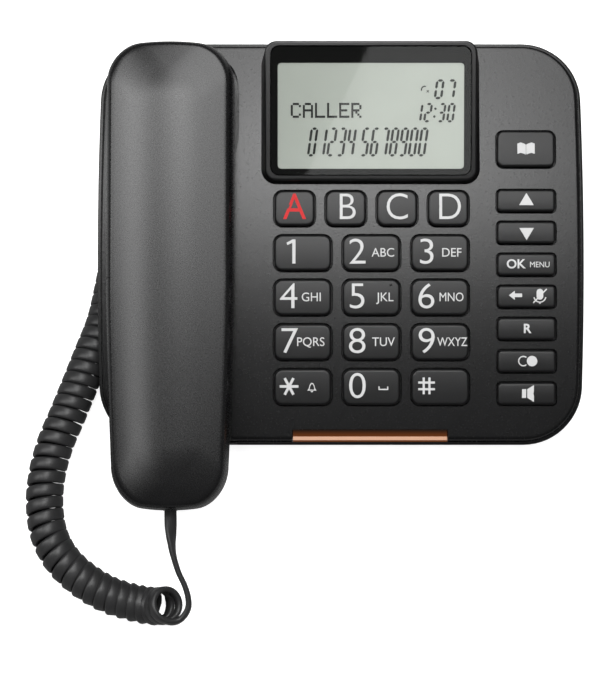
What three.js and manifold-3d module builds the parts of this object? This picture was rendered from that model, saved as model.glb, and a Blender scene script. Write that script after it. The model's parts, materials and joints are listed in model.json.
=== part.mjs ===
// Corded desk telephone with large keys: a wedge-shaped base with a raised
// display, a handset lying in a cradle on the left, and a coiled handset cord.
// Units are millimetres. +X is the user's right, +Y is the rear, +Z is up.
// The origin is on the table, under the middle of the base and handset.
import * as THREE from 'three';
import { mergeVertices } from 'three/addons/utils/BufferGeometryUtils.js';
import Module from 'manifold-3d';

const wasm = await Module();
wasm.setup();

// ---------------------------------------------------------------- dimensions
const GAP = 0.3;                       // clearance kept between touching pieces

// Base
const BASE_HALF_WIDTH = 107;
const BASE_FRONT = -74.6;
const BASE_REAR = 102;
const BASE_DEPTH = BASE_REAR - BASE_FRONT;
const BASE_MIDDLE = (BASE_FRONT + BASE_REAR) / 2;
const BASE_CORNER = 25;
const BASE_SIDE_BOW = 1.8;             // how far the long sides curve in at their ends
const FACE_FRONT_HEIGHT = 19.4;
const FACE_FRONT_SLOPE = Math.tan(THREE.MathUtils.degToRad(13));
const FACE_REAR_SLOPE = Math.tan(THREE.MathUtils.degToRad(5));
const WALL = 2.2;
const RIM_DEPTH = 7;                   // parting line, below the face
const TOP_INSET = 1.6;                 // the lower shell's rim stands out this far
const FLOOR_UNDERSIDE = 2.2;
const FLOOR_TAPER = 4;                 // the lower shell narrows this much to the table
const TAPER_HEIGHT = 13;
const FOOT_HEIGHT = FLOOR_UNDERSIDE - GAP;

// Keys
const KEY_SLOT_GAP = 0.5;
const KEY_RISE = 2.0;                  // key top above the face
const KEY_BOTTOM = -5.0;
const KEY_FLANGE_TOP = -2.8;
const KEY_FLANGE_BOTTOM = -4.2;
const KEY_FLANGE_WIDTH = 0.8;
const DIGIT_SLOT = { width: 26.0, height: 16.6, corner: 4.0 };
const LETTER_SLOT = { width: 18.6, height: 16.4, corner: 4.0 };
const BOOK_SLOT = { width: 26.4, height: 16.9, corner: 3.4 };
const FUNCTION_SLOT = { width: 26.4, height: 10.6, corner: 2.2 };
const DIGIT_COLUMN = 13.4;             // middle column's place across the base
const DIGIT_PITCH_X = 30.1;
const DIGIT_ROW = 8.7;                 // rear row's place
const DIGIT_PITCH_Y = 19.25;
const LETTER_MIDDLE = 13.45;
const LETTER_PITCH = 22.5;
const LETTER_ROW = 28.1;
const FUNCTION_COLUMN = 81.4;
const BOOK_ROW = 54.1;
const FUNCTION_ROW = 31.4;
const FUNCTION_PITCH = 13.88;

// Display
const DISPLAY_MIDDLE = 13.1;
const DISPLAY_HALF_WIDTH = 46.5;
const DISPLAY_FRONT = 39;
const DISPLAY_REAR = 98;
const DISPLAY_FRONT_RISE = 5;
const DISPLAY_REAR_RISE = 14;
const DISPLAY_CORNER = 5;
const WINDOW = { width: 88, height: 56.4, thickness: 1.4, corner: 4 };
const LCD = { width: 83.4, height: 48.8, thickness: 2.4, shift: -2.2, drop: 1.9 };

// Handset, in its own frame: origin on the parting plane, +Y to the ear end
const HANDSET_X = -73.9;
const HANDSET_Y = -3.5;
const HANDSET_Z = 48.9;
const HANDSET_PITCH = THREE.MathUtils.degToRad(9.05);
const HANDSET_HALF_LENGTH = 101.5;
const HANDSET_HALF_WIDTH = 27.5;
const HANDSET_CORNER = 14;
const HANDSET_END_BOW = 3.5;
const HANDSET_TAPER = 0.11;            // share of the width lost at the mouth end
const HANDSET_CROWN = 16.5;
const GRIP_DEPTH = 12;
const EAR = { y: 72.3, halfWidth: 25.5, halfLength: 23, depth: 26 };
const MOUTH = { y: -72, halfWidth: 23.5, halfLength: 22, depth: 18 };
const WELL_CLEARANCE = 1.5;
const EAR_WELL = { x: 1.05, halfWidth: 28.1, halfLength: 26 };
const MOUTH_WELL = { x: 0, halfWidth: 26, halfLength: 26 };

// Cord
const COIL_RADIUS = 8.1;
const COIL_Z = 8.3;
const LEAD_RADIUS = 2.0;
const BAY_WALL = -88.5;                // inner wall of the cord bay under the left edge
const BAY_FRONT = -43;
const BAY_REAR = 62;
const BAY_HEIGHT = 17.4;
const BASE_JACK_X = -95;
const PLUG = { width: 7.4, height: 5.4, length: 12 };
const HANDSET_JACK_Z = -5.0;           // plug axis in the handset's frame

// ------------------------------------------------------------------ materials
const makeMaterial = (color, roughness, metalness = 0) =>
  new THREE.MeshStandardMaterial({ color, roughness, metalness });
const shellPlastic = makeMaterial(0x3a3a3b, 0.55);
const keyPlastic = makeMaterial(0x404041, 0.5);
const displayPlastic = makeMaterial(0x202021, 0.4);
const windowPlastic = makeMaterial(0x0b0b0b, 0.08);
const lcdGlass = makeMaterial(0xb4b8af, 0.3);
const barPlastic = makeMaterial(0xd98d55, 0.35);
const boardLaminate = makeMaterial(0x1f5a35, 0.6);
const matRubber = makeMaterial(0x8a8a86, 0.8);
const jackPlastic = makeMaterial(0x18181a, 0.5);
const plugPlastic = makeMaterial(0xc9d0d2, 0.15);
const cordVinyl = makeMaterial(0x161617, 0.45);
const footRubber = makeMaterial(0x1b1b1b, 0.9);
const zincSteel = makeMaterial(0x9a9c9e, 0.35, 1);
const capsuleMetal = makeMaterial(0x77797b, 0.4, 1);

// ------------------------------------------------------------- solid helpers
function toSolid(geometry) {
  const bare = new THREE.BufferGeometry();
  bare.setAttribute('position', geometry.getAttribute('position'));
  if (geometry.index) bare.setIndex(geometry.index);
  const merged = mergeVertices(bare, 1e-4);
  return new wasm.Manifold(new wasm.Mesh({
    numProp: 3,
    vertProperties: new Float32Array(merged.getAttribute('position').array),
    triVerts: new Uint32Array(merged.index.array),
  }));
}

function toGeometry(solid) {
  const mesh = solid.getMesh();
  const geometry = new THREE.BufferGeometry();
  geometry.setAttribute('position', new THREE.BufferAttribute(mesh.vertProperties, 3));
  geometry.setIndex(new THREE.BufferAttribute(mesh.triVerts, 1));
  geometry.computeVertexNormals();
  return geometry;
}

const join = (first, ...others) => others.reduce((sum, solid) => sum.add(solid), first);
const cut = (first, ...others) => others.reduce((rest, solid) => rest.subtract(solid), first);

// A straight prism standing on an XY outline, from one height to another.
function prism(outline, bottom, top) {
  const geometry = new THREE.ExtrudeGeometry(new THREE.Shape(outline), {
    depth: top - bottom,
    bevelEnabled: false,
  });
  return geometry.translate(0, 0, bottom);
}

// A side view in Y and Z, carried straight across in X.
function sideSlab(profile, left, right) {
  const geometry = new THREE.ExtrudeGeometry(new THREE.Shape(profile), {
    depth: right - left,
    bevelEnabled: false,
  });
  const turn = new THREE.Matrix4().makeBasis(
    new THREE.Vector3(0, 1, 0),
    new THREE.Vector3(0, 0, 1),
    new THREE.Vector3(1, 0, 0),
  );
  return geometry.applyMatrix4(turn).translate(left, 0, 0);
}

// A closed body through a stack of convex outlines, each {outline, z}.
function loft(rings) {
  const count = rings[0].outline.length;
  const positions = rings.flatMap(({ outline, z }) => outline.flatMap((p) => [p.x, p.y, z]));
  const index = [];
  for (let ring = 0; ring < rings.length - 1; ring += 1) {
    for (let i = 0; i < count; i += 1) {
      const a = ring * count + i;
      const b = ring * count + ((i + 1) % count);
      index.push(a, b, b + count, a, b + count, a + count);
    }
  }
  const last = (rings.length - 1) * count;
  for (let i = 1; i < count - 1; i += 1) {
    index.push(0, i + 1, i, last, last + i, last + i + 1);
  }
  const geometry = new THREE.BufferGeometry();
  geometry.setAttribute('position', new THREE.Float32BufferAttribute(positions, 3));
  geometry.setIndex(index);
  return geometry;
}

const box = (x0, x1, y0, y1, z0, z1) =>
  new THREE.BoxGeometry(x1 - x0, y1 - y0, z1 - z0)
    .translate((x0 + x1) / 2, (y0 + y1) / 2, (z0 + z1) / 2);

// An upright cylinder between two heights.
const post = (x, y, radius, bottom, top, sides = 12) =>
  new THREE.CylinderGeometry(radius, radius, top - bottom, sides)
    .rotateX(Math.PI / 2)
    .translate(x, y, (bottom + top) / 2);

function roundedOutline(halfX, halfY, corner, segments = 2) {
  const points = [];
  const centres = [[1, 1, 0], [-1, 1, 1], [-1, -1, 2], [1, -1, 3]];
  for (const [signX, signY, quarter] of centres) {
    for (let i = 0; i <= segments; i += 1) {
      const angle = (quarter + i / segments) * Math.PI / 2;
      points.push(new THREE.Vector2(
        signX * (halfX - corner) + corner * Math.cos(angle),
        signY * (halfY - corner) + corner * Math.sin(angle),
      ));
    }
  }
  return points;
}

// Adds points along long straight edges, so that a bow can bend them.
function subdivide(points, longest) {
  return points.flatMap((point, i) => {
    const next = points[(i + 1) % points.length];
    const pieces = Math.max(1, Math.ceil(point.distanceTo(next) / longest));
    return Array.from({ length: pieces }, (_, k) => point.clone().lerp(next, k / pieces));
  });
}

// A rounded square: a superellipse of the fourth degree.
function softSquare(halfX, halfY, centreX = 0, centreY = 0, sides = 28) {
  const bend = (value) => Math.sign(value) * Math.sqrt(Math.abs(value));
  return Array.from({ length: sides }, (_, i) => {
    const angle = (i / sides) * 2 * Math.PI;
    return new THREE.Vector2(
      centreX + halfX * bend(Math.cos(angle)),
      centreY + halfY * bend(Math.sin(angle)),
    );
  });
}

function addMesh(parent, name, geometry, material) {
  const mesh = new THREE.Mesh(geometry, material);
  mesh.name = name;
  parent.add(mesh);
  return mesh;
}

// ---------------------------------------------------------------- base face
const faceBend = (FACE_FRONT_SLOPE - FACE_REAR_SLOPE) / BASE_DEPTH;

function faceHeight(y) {
  const run = y - BASE_FRONT;
  return FACE_FRONT_HEIGHT + FACE_FRONT_SLOPE * run - 0.5 * faceBend * run * run;
}

const faceAngle = (y) => Math.atan(FACE_FRONT_SLOPE - faceBend * (y - BASE_FRONT));

function faceMatrix(x, y) {
  return new THREE.Matrix4()
    .makeRotationX(faceAngle(y))
    .setPosition(x, y, faceHeight(y));
}

function baseOutline(inset) {
  const outline = roundedOutline(
    BASE_HALF_WIDTH - inset,
    BASE_DEPTH / 2 - inset,
    BASE_CORNER - inset,
    6,
  );
  return subdivide(outline, 40).map(({ x, y }) => new THREE.Vector2(
    x - Math.sign(x) * BASE_SIDE_BOW * (y / (BASE_DEPTH / 2)) ** 2,
    y + BASE_MIDDLE,
  ));
}

// The slab between two surfaces that run parallel to the face.
function faceSlab(lower, upper) {
  const steps = 12;
  const margin = 5;
  const top = [];
  for (let i = 0; i <= steps; i += 1) {
    const y = BASE_FRONT - margin + (i / steps) * (BASE_DEPTH + 2 * margin);
    top.push(new THREE.Vector2(y, faceHeight(y) + upper));
  }
  const bottom = typeof lower === 'number'
    ? top.map(({ x, y }) => new THREE.Vector2(x, y - upper + lower))
    : [top[0], top[steps]].map(({ x }) => new THREE.Vector2(x, lower.flat));
  const profile = [...bottom, ...top.reverse()];
  return toSolid(sideSlab(profile, -BASE_HALF_WIDTH - margin, BASE_HALF_WIDTH + margin));
}

// ----------------------------------------------------------- handset shapes
function handsetOutline(inset) {
  const halfLength = HANDSET_HALF_LENGTH - inset;
  const halfWidth = HANDSET_HALF_WIDTH - inset;
  const outline = roundedOutline(halfWidth, halfLength, Math.max(HANDSET_CORNER - inset, 3), 5);
  return subdivide(outline, 24).map(({ x, y }) => {
    const toMouth = Math.max(0, -y - 10) / (HANDSET_HALF_LENGTH - 10);
    return new THREE.Vector2(
      x * (1 - HANDSET_TAPER * toMouth ** 1.4),
      y - Math.sign(y) * HANDSET_END_BOW * (x / HANDSET_HALF_WIDTH) ** 2,
    );
  });
}

const handsetMatrix = new THREE.Matrix4()
  .makeRotationX(HANDSET_PITCH)
  .setPosition(HANDSET_X, HANDSET_Y, HANDSET_Z);

const handsetPoint = (x, y, z) => new THREE.Vector3(x, y, z).applyMatrix4(handsetMatrix);

// ------------------------------------------------------------------- layout
const keys = [];
function addKey(name, slot, x, y) {
  keys.push({ name: `key_${name}`, slot, x, y });
}
[['1', '2', '3'], ['4', '5', '6'], ['7', '8', '9'], ['star', '0', 'hash']]
  .forEach((names, row) => names.forEach((name, column) => addKey(
    name,
    DIGIT_SLOT,
    DIGIT_COLUMN + (column - 1) * DIGIT_PITCH_X,
    DIGIT_ROW - row * DIGIT_PITCH_Y,
  )));
['a', 'b', 'c', 'd'].forEach((name, column) => addKey(
  name,
  LETTER_SLOT,
  LETTER_MIDDLE + (column - 1.5) * LETTER_PITCH,
  LETTER_ROW,
));
addKey('phonebook', BOOK_SLOT, FUNCTION_COLUMN, BOOK_ROW);
['up', 'down', 'ok', 'back', 'recall', 'redial', 'speaker'].forEach((name, row) => addKey(
  name,
  FUNCTION_SLOT,
  FUNCTION_COLUMN,
  FUNCTION_ROW - row * FUNCTION_PITCH,
));

const SCREW_BOSSES = [[-38, -60], [62.4, -60], [90, 90], [-38, 86]];
const BOSS_RADIUS = 3.2;
const SCREW_RADIUS = 1.2;
const SCREW_HEAD_RADIUS = 2.6;
const FLOOR_CLEAR = FLOOR_UNDERSIDE + WALL + GAP;   // lowest place for what stands on the floor
const FEET = [[-76, -50], [80, -50], [-76, 82], [76, 82]];
const FOOT_RADIUS = 7;

const SOUND_SLOT = { halfLength: 12, halfWidth: 1, pitch: 5 };
const HANDS_FREE_MIC = { x: 35, y: -62, radius: 3, height: 5 };
const MAIN_BOARD = { left: 18, right: 88, front: 12, rear: 84, low: 8, high: 9.6 };
const RIBBON_HOLE = { halfWidth: 20, front: 66, rear: 72 };
const EAR_SLOT = { halfLength: 6, halfWidth: 1, pitch: 5 };
const EARPIECE = { radius: 16, low: -22.6, high: -14 };
const MICROPHONE = { radius: 4.8, low: -15, high: -9 };
const BALLAST = { halfWidth: 12, halfLength: 28, low: -8.6, high: -3 };

const LINE_JACK_X = 60;
const LINE_JACK_Z = 18;
const LINE_SOCKET = { halfWidth: 4.9, halfHeight: 3.3, depth: 12 };
const PLUNGER = { x: HANDSET_X, y: 52, halfWidth: 5, halfLength: 2.5 };
const LIGHT_BAR = { middle: 12.8, halfLength: 33.8, low: 14.2, high: 18.6, front: -73.4, rear: -67.5 };
const SPEAKER = { x: -8, y: -8, radius: 20, height: 8 };

const telephone = new THREE.Group();
const handset = new THREE.Group();
handset.applyMatrix4(handsetMatrix);
telephone.add(handset);

// ------------------------------------------------------- well under handset
function wellPrism(cupEnd, well, extra) {
  const outline = softSquare(well.halfWidth + extra, well.halfLength + extra, well.x, cupEnd.y);
  const geometry = prism(outline, -cupEnd.depth - WELL_CLEARANCE - extra, 40);
  return toSolid(geometry.applyMatrix4(handsetMatrix));
}
const earWell = (extra) => wellPrism(EAR, EAR_WELL, extra);
const mouthWell = (extra) => wellPrism(MOUTH, MOUTH_WELL, extra);

// -------------------------------------------------------------- top housing
function slotPrism({ slot, x, y }, shrink, bottom, top) {
  const outline = roundedOutline(
    slot.width / 2 - shrink,
    slot.height / 2 - shrink,
    slot.corner - shrink,
  );
  return toSolid(prism(outline, bottom, top).applyMatrix4(faceMatrix(x, y)));
}

function makeTopHousing() {
  const outer = toSolid(prism(baseOutline(TOP_INSET), 0, 80)).intersect(faceSlab(-RIM_DEPTH, 0));
  const inner = toSolid(prism(baseOutline(TOP_INSET + WALL), 0, 80))
    .intersect(faceSlab(-RIM_DEPTH - 10, -WALL));
  const wellWalls = join(earWell(WALL), mouthWell(WALL));
  const wellBodies = wellWalls
    .intersect(faceSlab({ flat: 12 }, 0))
    .intersect(toSolid(prism(baseOutline(TOP_INSET), 0, 80)));
  const bosses = SCREW_BOSSES.map(([x, y]) => cut(
    toSolid(post(x, y, BOSS_RADIUS, FLOOR_CLEAR, faceHeight(y) - WALL / 2, 10)),
    toSolid(post(x, y, SCREW_RADIUS + GAP, 0, FLOOR_CLEAR + 12, 8)),
  ));
  const slots = keys.map((key) => slotPrism(key, 0, -6, 6));
  const plungerHole = toSolid(box(
    PLUNGER.x - PLUNGER.halfWidth - GAP, PLUNGER.x + PLUNGER.halfWidth + GAP,
    PLUNGER.y - PLUNGER.halfLength - GAP, PLUNGER.y + PLUNGER.halfLength + GAP, 0, 60,
  ));
  const ribbonHole = toSolid(box(
    DISPLAY_MIDDLE - RIBBON_HOLE.halfWidth, DISPLAY_MIDDLE + RIBBON_HOLE.halfWidth,
    RIBBON_HOLE.front, RIBBON_HOLE.rear, 20, 60,
  ));
  const barSlot = toSolid(box(
    LIGHT_BAR.middle - LIGHT_BAR.halfLength - GAP, LIGHT_BAR.middle + LIGHT_BAR.halfLength + GAP,
    LIGHT_BAR.front - 5, LIGHT_BAR.rear + GAP, LIGHT_BAR.low - GAP, LIGHT_BAR.high + 10,
  ));
  const shell = join(cut(outer, inner), wellBodies, ...bosses);
  return cut(shell, earWell(0), mouthWell(0), ...slots, plungerHole, ribbonHole, barSlot);
}

// ----------------------------------------------------------- bottom housing
function lowerBody(inset, floor) {
  const body = loft([
    { outline: baseOutline(inset + FLOOR_TAPER), z: FLOOR_UNDERSIDE - 0.01 },
    { outline: baseOutline(inset), z: TAPER_HEIGHT },
    { outline: baseOutline(inset), z: 80 },
  ]);
  return toSolid(body).intersect(faceSlab({ flat: floor }, -RIM_DEPTH - GAP));
}

function cordBay(extra) {
  return toSolid(box(
    -BASE_HALF_WIDTH - 10, BAY_WALL + extra,
    BAY_FRONT - extra, BAY_REAR + extra, -5, BAY_HEIGHT + extra,
  ));
}

function makeBottomHousing() {
  const outer = lowerBody(0, FLOOR_UNDERSIDE);
  const bay = cordBay(0);
  const cavity = lowerBody(WALL, FLOOR_UNDERSIDE + WALL)
    .add(toSolid(prism(baseOutline(WALL), TAPER_HEIGHT, 80)))
    .subtract(cordBay(WALL * 0.6));
  const wells = [earWell(WALL + GAP), mouthWell(WALL + GAP)];
  const screwHoles = SCREW_BOSSES.flatMap(([x, y]) => [
    toSolid(post(x, y, SCREW_RADIUS + GAP, 0, 10, 8)),
    toSolid(post(x, y, SCREW_HEAD_RADIUS + GAP, 0, FLOOR_UNDERSIDE + 1.2, 10)),
  ]);
  const speakerSlots = [-2, -1, 0, 1, 2].map((row) => toSolid(box(
    SPEAKER.x - SOUND_SLOT.halfLength, SPEAKER.x + SOUND_SLOT.halfLength,
    SPEAKER.y + row * SOUND_SLOT.pitch - SOUND_SLOT.halfWidth,
    SPEAKER.y + row * SOUND_SLOT.pitch + SOUND_SLOT.halfWidth, 0, 8,
  )));
  const lineOpening = toSolid(box(
    LINE_JACK_X - LINE_SOCKET.halfWidth, LINE_JACK_X + LINE_SOCKET.halfWidth,
    BASE_REAR - 8, BASE_REAR + 5,
    LINE_JACK_Z - LINE_SOCKET.halfHeight, LINE_JACK_Z + LINE_SOCKET.halfHeight,
  ));
  const plugOpening = toSolid(box(
    BASE_JACK_X - PLUG.width / 2 - GAP, BASE_JACK_X + PLUG.width / 2 + GAP,
    BAY_REAR - 5, BAY_REAR + 8,
    COIL_Z - PLUG.height / 2 - GAP, COIL_Z + PLUG.height / 2 + GAP,
  ));
  const openings = [...wells, ...screwHoles, ...speakerSlots, lineOpening, plugOpening];
  return cut(outer, cavity, bay, ...openings);
}

addMesh(telephone, 'top_housing', toGeometry(makeTopHousing()), shellPlastic);
addMesh(telephone, 'bottom_housing', toGeometry(makeBottomHousing()), shellPlastic);

// --------------------------------------------------------------------- keys
for (const key of keys) {
  const { slot, x, y, name } = key;
  const shaft = prism(roundedOutline(
    slot.width / 2 - KEY_SLOT_GAP,
    slot.height / 2 - KEY_SLOT_GAP,
    slot.corner - KEY_SLOT_GAP,
  ), KEY_BOTTOM, KEY_RISE);
  const flangeX = slot.width / 2 - KEY_SLOT_GAP + KEY_FLANGE_WIDTH;
  const flangeY = slot.height / 2 - KEY_SLOT_GAP + KEY_FLANGE_WIDTH;
  const flange = box(-flangeX, flangeX, -flangeY, flangeY, KEY_FLANGE_BOTTOM, KEY_FLANGE_TOP);
  const body = join(toSolid(shaft), toSolid(flange));
  const mesh = addMesh(telephone, name, toGeometry(body), keyPlastic);
  mesh.applyMatrix4(faceMatrix(x, y));
}

// ------------------------------------------- key mat and boards in the base
const MAT = { left: -34, right: 97, front: -58, rear: 63 };
const MAT_DEPTH = 7.2;                 // mat's upper side below the face, at its ends
const matPitch = Math.atan2(
  faceHeight(MAT.rear) - faceHeight(MAT.front),
  MAT.rear - MAT.front,
);

function matLayer(name, upper, thickness, shrink, material) {
  const length = (MAT.rear - MAT.front) / Math.cos(matPitch) - 2 * shrink;
  const sheet = new THREE.BoxGeometry(MAT.right - MAT.left - 2 * shrink, length, thickness);
  const bossClearance = toSolid(post(62.4, -60, BOSS_RADIUS + 1, -40, 80, 10));
  sheet.translate(0, 0, -upper - thickness / 2);
  sheet.rotateX(matPitch);
  sheet.translate(
    (MAT.left + MAT.right) / 2,
    (MAT.front + MAT.rear) / 2,
    (faceHeight(MAT.front) + faceHeight(MAT.rear)) / 2,
  );
  const solid = cut(toSolid(sheet), bossClearance);
  addMesh(telephone, name, toGeometry(solid), material);
}
matLayer('keypad_mat', MAT_DEPTH, 1.2, 1, matRubber);
matLayer('keypad_board', MAT_DEPTH + 1.2 + GAP, 1.6, 0, boardLaminate);

addMesh(telephone, 'main_board', box(
  MAIN_BOARD.left, MAIN_BOARD.right, MAIN_BOARD.front, MAIN_BOARD.rear,
  MAIN_BOARD.low, MAIN_BOARD.high,
), boardLaminate);

function makeLineJack() {
  const { halfWidth, halfHeight, depth } = LINE_SOCKET;
  const rear = BASE_REAR - WALL - GAP;
  const body = toSolid(box(
    LINE_JACK_X - 7, LINE_JACK_X + 7, rear - 15, rear, LINE_JACK_Z - 4.4, LINE_JACK_Z + 5.4,
  ));
  const socket = toSolid(box(
    LINE_JACK_X - halfWidth, LINE_JACK_X + halfWidth, rear - depth, rear + 1,
    LINE_JACK_Z - halfHeight, LINE_JACK_Z + halfHeight,
  ));
  return cut(body, socket);
}
addMesh(telephone, 'line_jack', toGeometry(makeLineJack()), jackPlastic);

// A small four-way jack with its socket open towards -Y, in its own frame:
// the plug's axis is the Y axis and the socket's mouth is at y = 0.
function makeHandsetJack() {
  const halfX = PLUG.width / 2 + GAP;
  const halfZ = PLUG.height / 2 + GAP;
  const body = toSolid(box(-halfX - 1.4, halfX + 1.4, 0, 15, -halfZ - 0.8, halfZ + 1.2));
  const socket = toSolid(box(-halfX, halfX, -1, 12.5, -halfZ, halfZ));
  return toGeometry(cut(body, socket));
}

// The plug: a clear body with a thinner collar where the lead goes in.
function makePlug(tail) {
  const { width, height, length } = PLUG;
  return toGeometry(join(
    toSolid(box(-width / 2, width / 2, 0, length, -height / 2, height / 2)),
    toSolid(box(-3.1, 3.1, -tail, 1, -1.9, 1.9)),
  ));
}

addMesh(telephone, 'base_handset_jack', makeHandsetJack(), jackPlastic)
  .position.set(BASE_JACK_X, BAY_REAR + WALL * 0.6 + GAP, COIL_Z);
addMesh(telephone, 'base_plug', makePlug(2), plugPlastic)
  .position.set(BASE_JACK_X, BAY_REAR + 1.4, COIL_Z);

addMesh(telephone, 'loudspeaker', post(
  SPEAKER.x, SPEAKER.y, SPEAKER.radius, FLOOR_CLEAR, FLOOR_CLEAR + SPEAKER.height, 20,
), capsuleMetal);
addMesh(telephone, 'base_microphone', post(
  HANDS_FREE_MIC.x, HANDS_FREE_MIC.y, HANDS_FREE_MIC.radius,
  FLOOR_CLEAR, FLOOR_CLEAR + HANDS_FREE_MIC.height,
), capsuleMetal);

addMesh(telephone, 'light_bar', box(
  LIGHT_BAR.middle - LIGHT_BAR.halfLength, LIGHT_BAR.middle + LIGHT_BAR.halfLength,
  LIGHT_BAR.front, LIGHT_BAR.rear, LIGHT_BAR.low, LIGHT_BAR.high,
), barPlastic);

// ----------------------------------------------- hook plunger and its switch
const wellFloor = handsetPoint(
  0, (PLUNGER.y - HANDSET_Y) / Math.cos(HANDSET_PITCH), -EAR.depth - WELL_CLEARANCE,
).z;
const plungerTop = wellFloor + 0.3;
const plungerBottom = plungerTop - 14;
addMesh(telephone, 'hook_plunger', box(
  PLUNGER.x - PLUNGER.halfWidth, PLUNGER.x + PLUNGER.halfWidth,
  PLUNGER.y - PLUNGER.halfLength, PLUNGER.y + PLUNGER.halfLength,
  plungerBottom, plungerTop,
), jackPlastic);
addMesh(telephone, 'hook_switch', box(
  PLUNGER.x - 6.5, PLUNGER.x + 6.5, PLUNGER.y - 4, PLUNGER.y + 4,
  FLOOR_CLEAR, plungerBottom - GAP,
), jackPlastic);

// ------------------------------------------------------------------ display
const displayFrontZ = faceHeight(DISPLAY_FRONT) + DISPLAY_FRONT_RISE;
const displayRearZ = faceHeight(DISPLAY_REAR) + DISPLAY_REAR_RISE;
const displayPitch = Math.atan2(displayRearZ - displayFrontZ, DISPLAY_REAR - DISPLAY_FRONT);
const displayMatrix = new THREE.Matrix4()
  .makeRotationX(displayPitch)
  .setPosition(
    DISPLAY_MIDDLE,
    (DISPLAY_FRONT + DISPLAY_REAR) / 2,
    (displayFrontZ + displayRearZ) / 2,
  );

// A side view under the display's plane, open or closed at the base's face.
function displayProfile(front, rear, drop, foot) {
  const planeHeight = (y) => displayFrontZ + (y - DISPLAY_FRONT) * Math.tan(displayPitch) - drop;
  const points = [];
  const steps = 5;
  for (let i = 0; i <= steps; i += 1) {
    const y = front + (i / steps) * (rear - front);
    points.push(new THREE.Vector2(y, faceHeight(y) + foot));
  }
  points.push(new THREE.Vector2(rear, planeHeight(rear)), new THREE.Vector2(front, planeHeight(front)));
  return points;
}

function displayPrism(width, height, corner, shift, bottom, top) {
  const outline = roundedOutline(width / 2, height / 2, corner, 3)
    .map(({ x, y }) => new THREE.Vector2(x, y + shift));
  return toSolid(prism(outline, bottom, top).applyMatrix4(displayMatrix));
}

function makeDisplayHousing() {
  const left = DISPLAY_MIDDLE - DISPLAY_HALF_WIDTH;
  const right = DISPLAY_MIDDLE + DISPLAY_HALF_WIDTH;
  const plan = roundedOutline(
    DISPLAY_HALF_WIDTH, (DISPLAY_REAR - DISPLAY_FRONT) / 2, DISPLAY_CORNER, 4,
  ).map(({ x, y }) => new THREE.Vector2(
    x + DISPLAY_MIDDLE, y + (DISPLAY_FRONT + DISPLAY_REAR) / 2,
  ));
  const sideView = displayProfile(DISPLAY_FRONT - 1, DISPLAY_REAR + 1, 0, GAP);
  const block = toSolid(sideSlab(sideView, left, right)).intersect(toSolid(prism(plan, 0, 90)));
  const hollow = toSolid(sideSlab(
    displayProfile(DISPLAY_FRONT + 2.2, DISPLAY_REAR - WALL, 3.8, -3), left + WALL, right - WALL,
  ));
  const recess = displayPrism(
    WINDOW.width + 2 * GAP, WINDOW.height + 2 * GAP, WINDOW.corner + GAP, 0,
    -WINDOW.thickness - 0.2, 5,
  );
  const opening = displayPrism(
    LCD.width + 2 * GAP, LCD.height + 2 * GAP, 0.8, LCD.shift, -6, 0,
  );
  return cut(block, hollow, recess, opening);
}
addMesh(telephone, 'display_housing', toGeometry(makeDisplayHousing()), displayPlastic);

const displayGroup = new THREE.Group();
displayGroup.applyMatrix4(displayMatrix);
telephone.add(displayGroup);
addMesh(displayGroup, 'display_window', prism(
  roundedOutline(WINDOW.width / 2, WINDOW.height / 2, WINDOW.corner, 4), -WINDOW.thickness, 0,
), windowPlastic);
addMesh(displayGroup, 'lcd_panel', box(
  -LCD.width / 2, LCD.width / 2, LCD.shift - LCD.height / 2, LCD.shift + LCD.height / 2,
  -LCD.drop - LCD.thickness, -LCD.drop,
), lcdGlass);

// -------------------------------------------------------- handset back shell
const shellRings = (rings, extra) => rings.map(([inset, z]) => ({
  outline: handsetOutline(inset + extra),
  z,
}));

// Each ring is [inset from the outline, height above the parting plane].
const backOuter = [[0, GAP / 2], [1.2, 9], [2.6, 13], [6, 15.6], [11, HANDSET_CROWN]];
const backInner = [[WALL, -1], [WALL + 1.2, 8], [WALL + 3.5, 11.5], [WALL + 8, 14]];
const backShell = cut(
  toSolid(loft(shellRings(backOuter, 0))),
  toSolid(loft(shellRings(backInner, 0))),
);
addMesh(handset, 'handset_back_shell', toGeometry(backShell), shellPlastic);

// ------------------------------------------------------- handset front shell
// A cup that stands down from the grip at one end of the handset.
function cup({ y, halfWidth, halfLength, depth }, inset, sides) {
  const ring = (extra) => softSquare(
    halfWidth - inset - extra, halfLength - inset - extra, 0, y, sides,
  );
  return toSolid(loft([
    { outline: ring(1.8), z: -depth + inset },
    { outline: ring(0), z: -depth + 4 },
    { outline: ring(0), z: -6 },
  ]));
}

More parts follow.
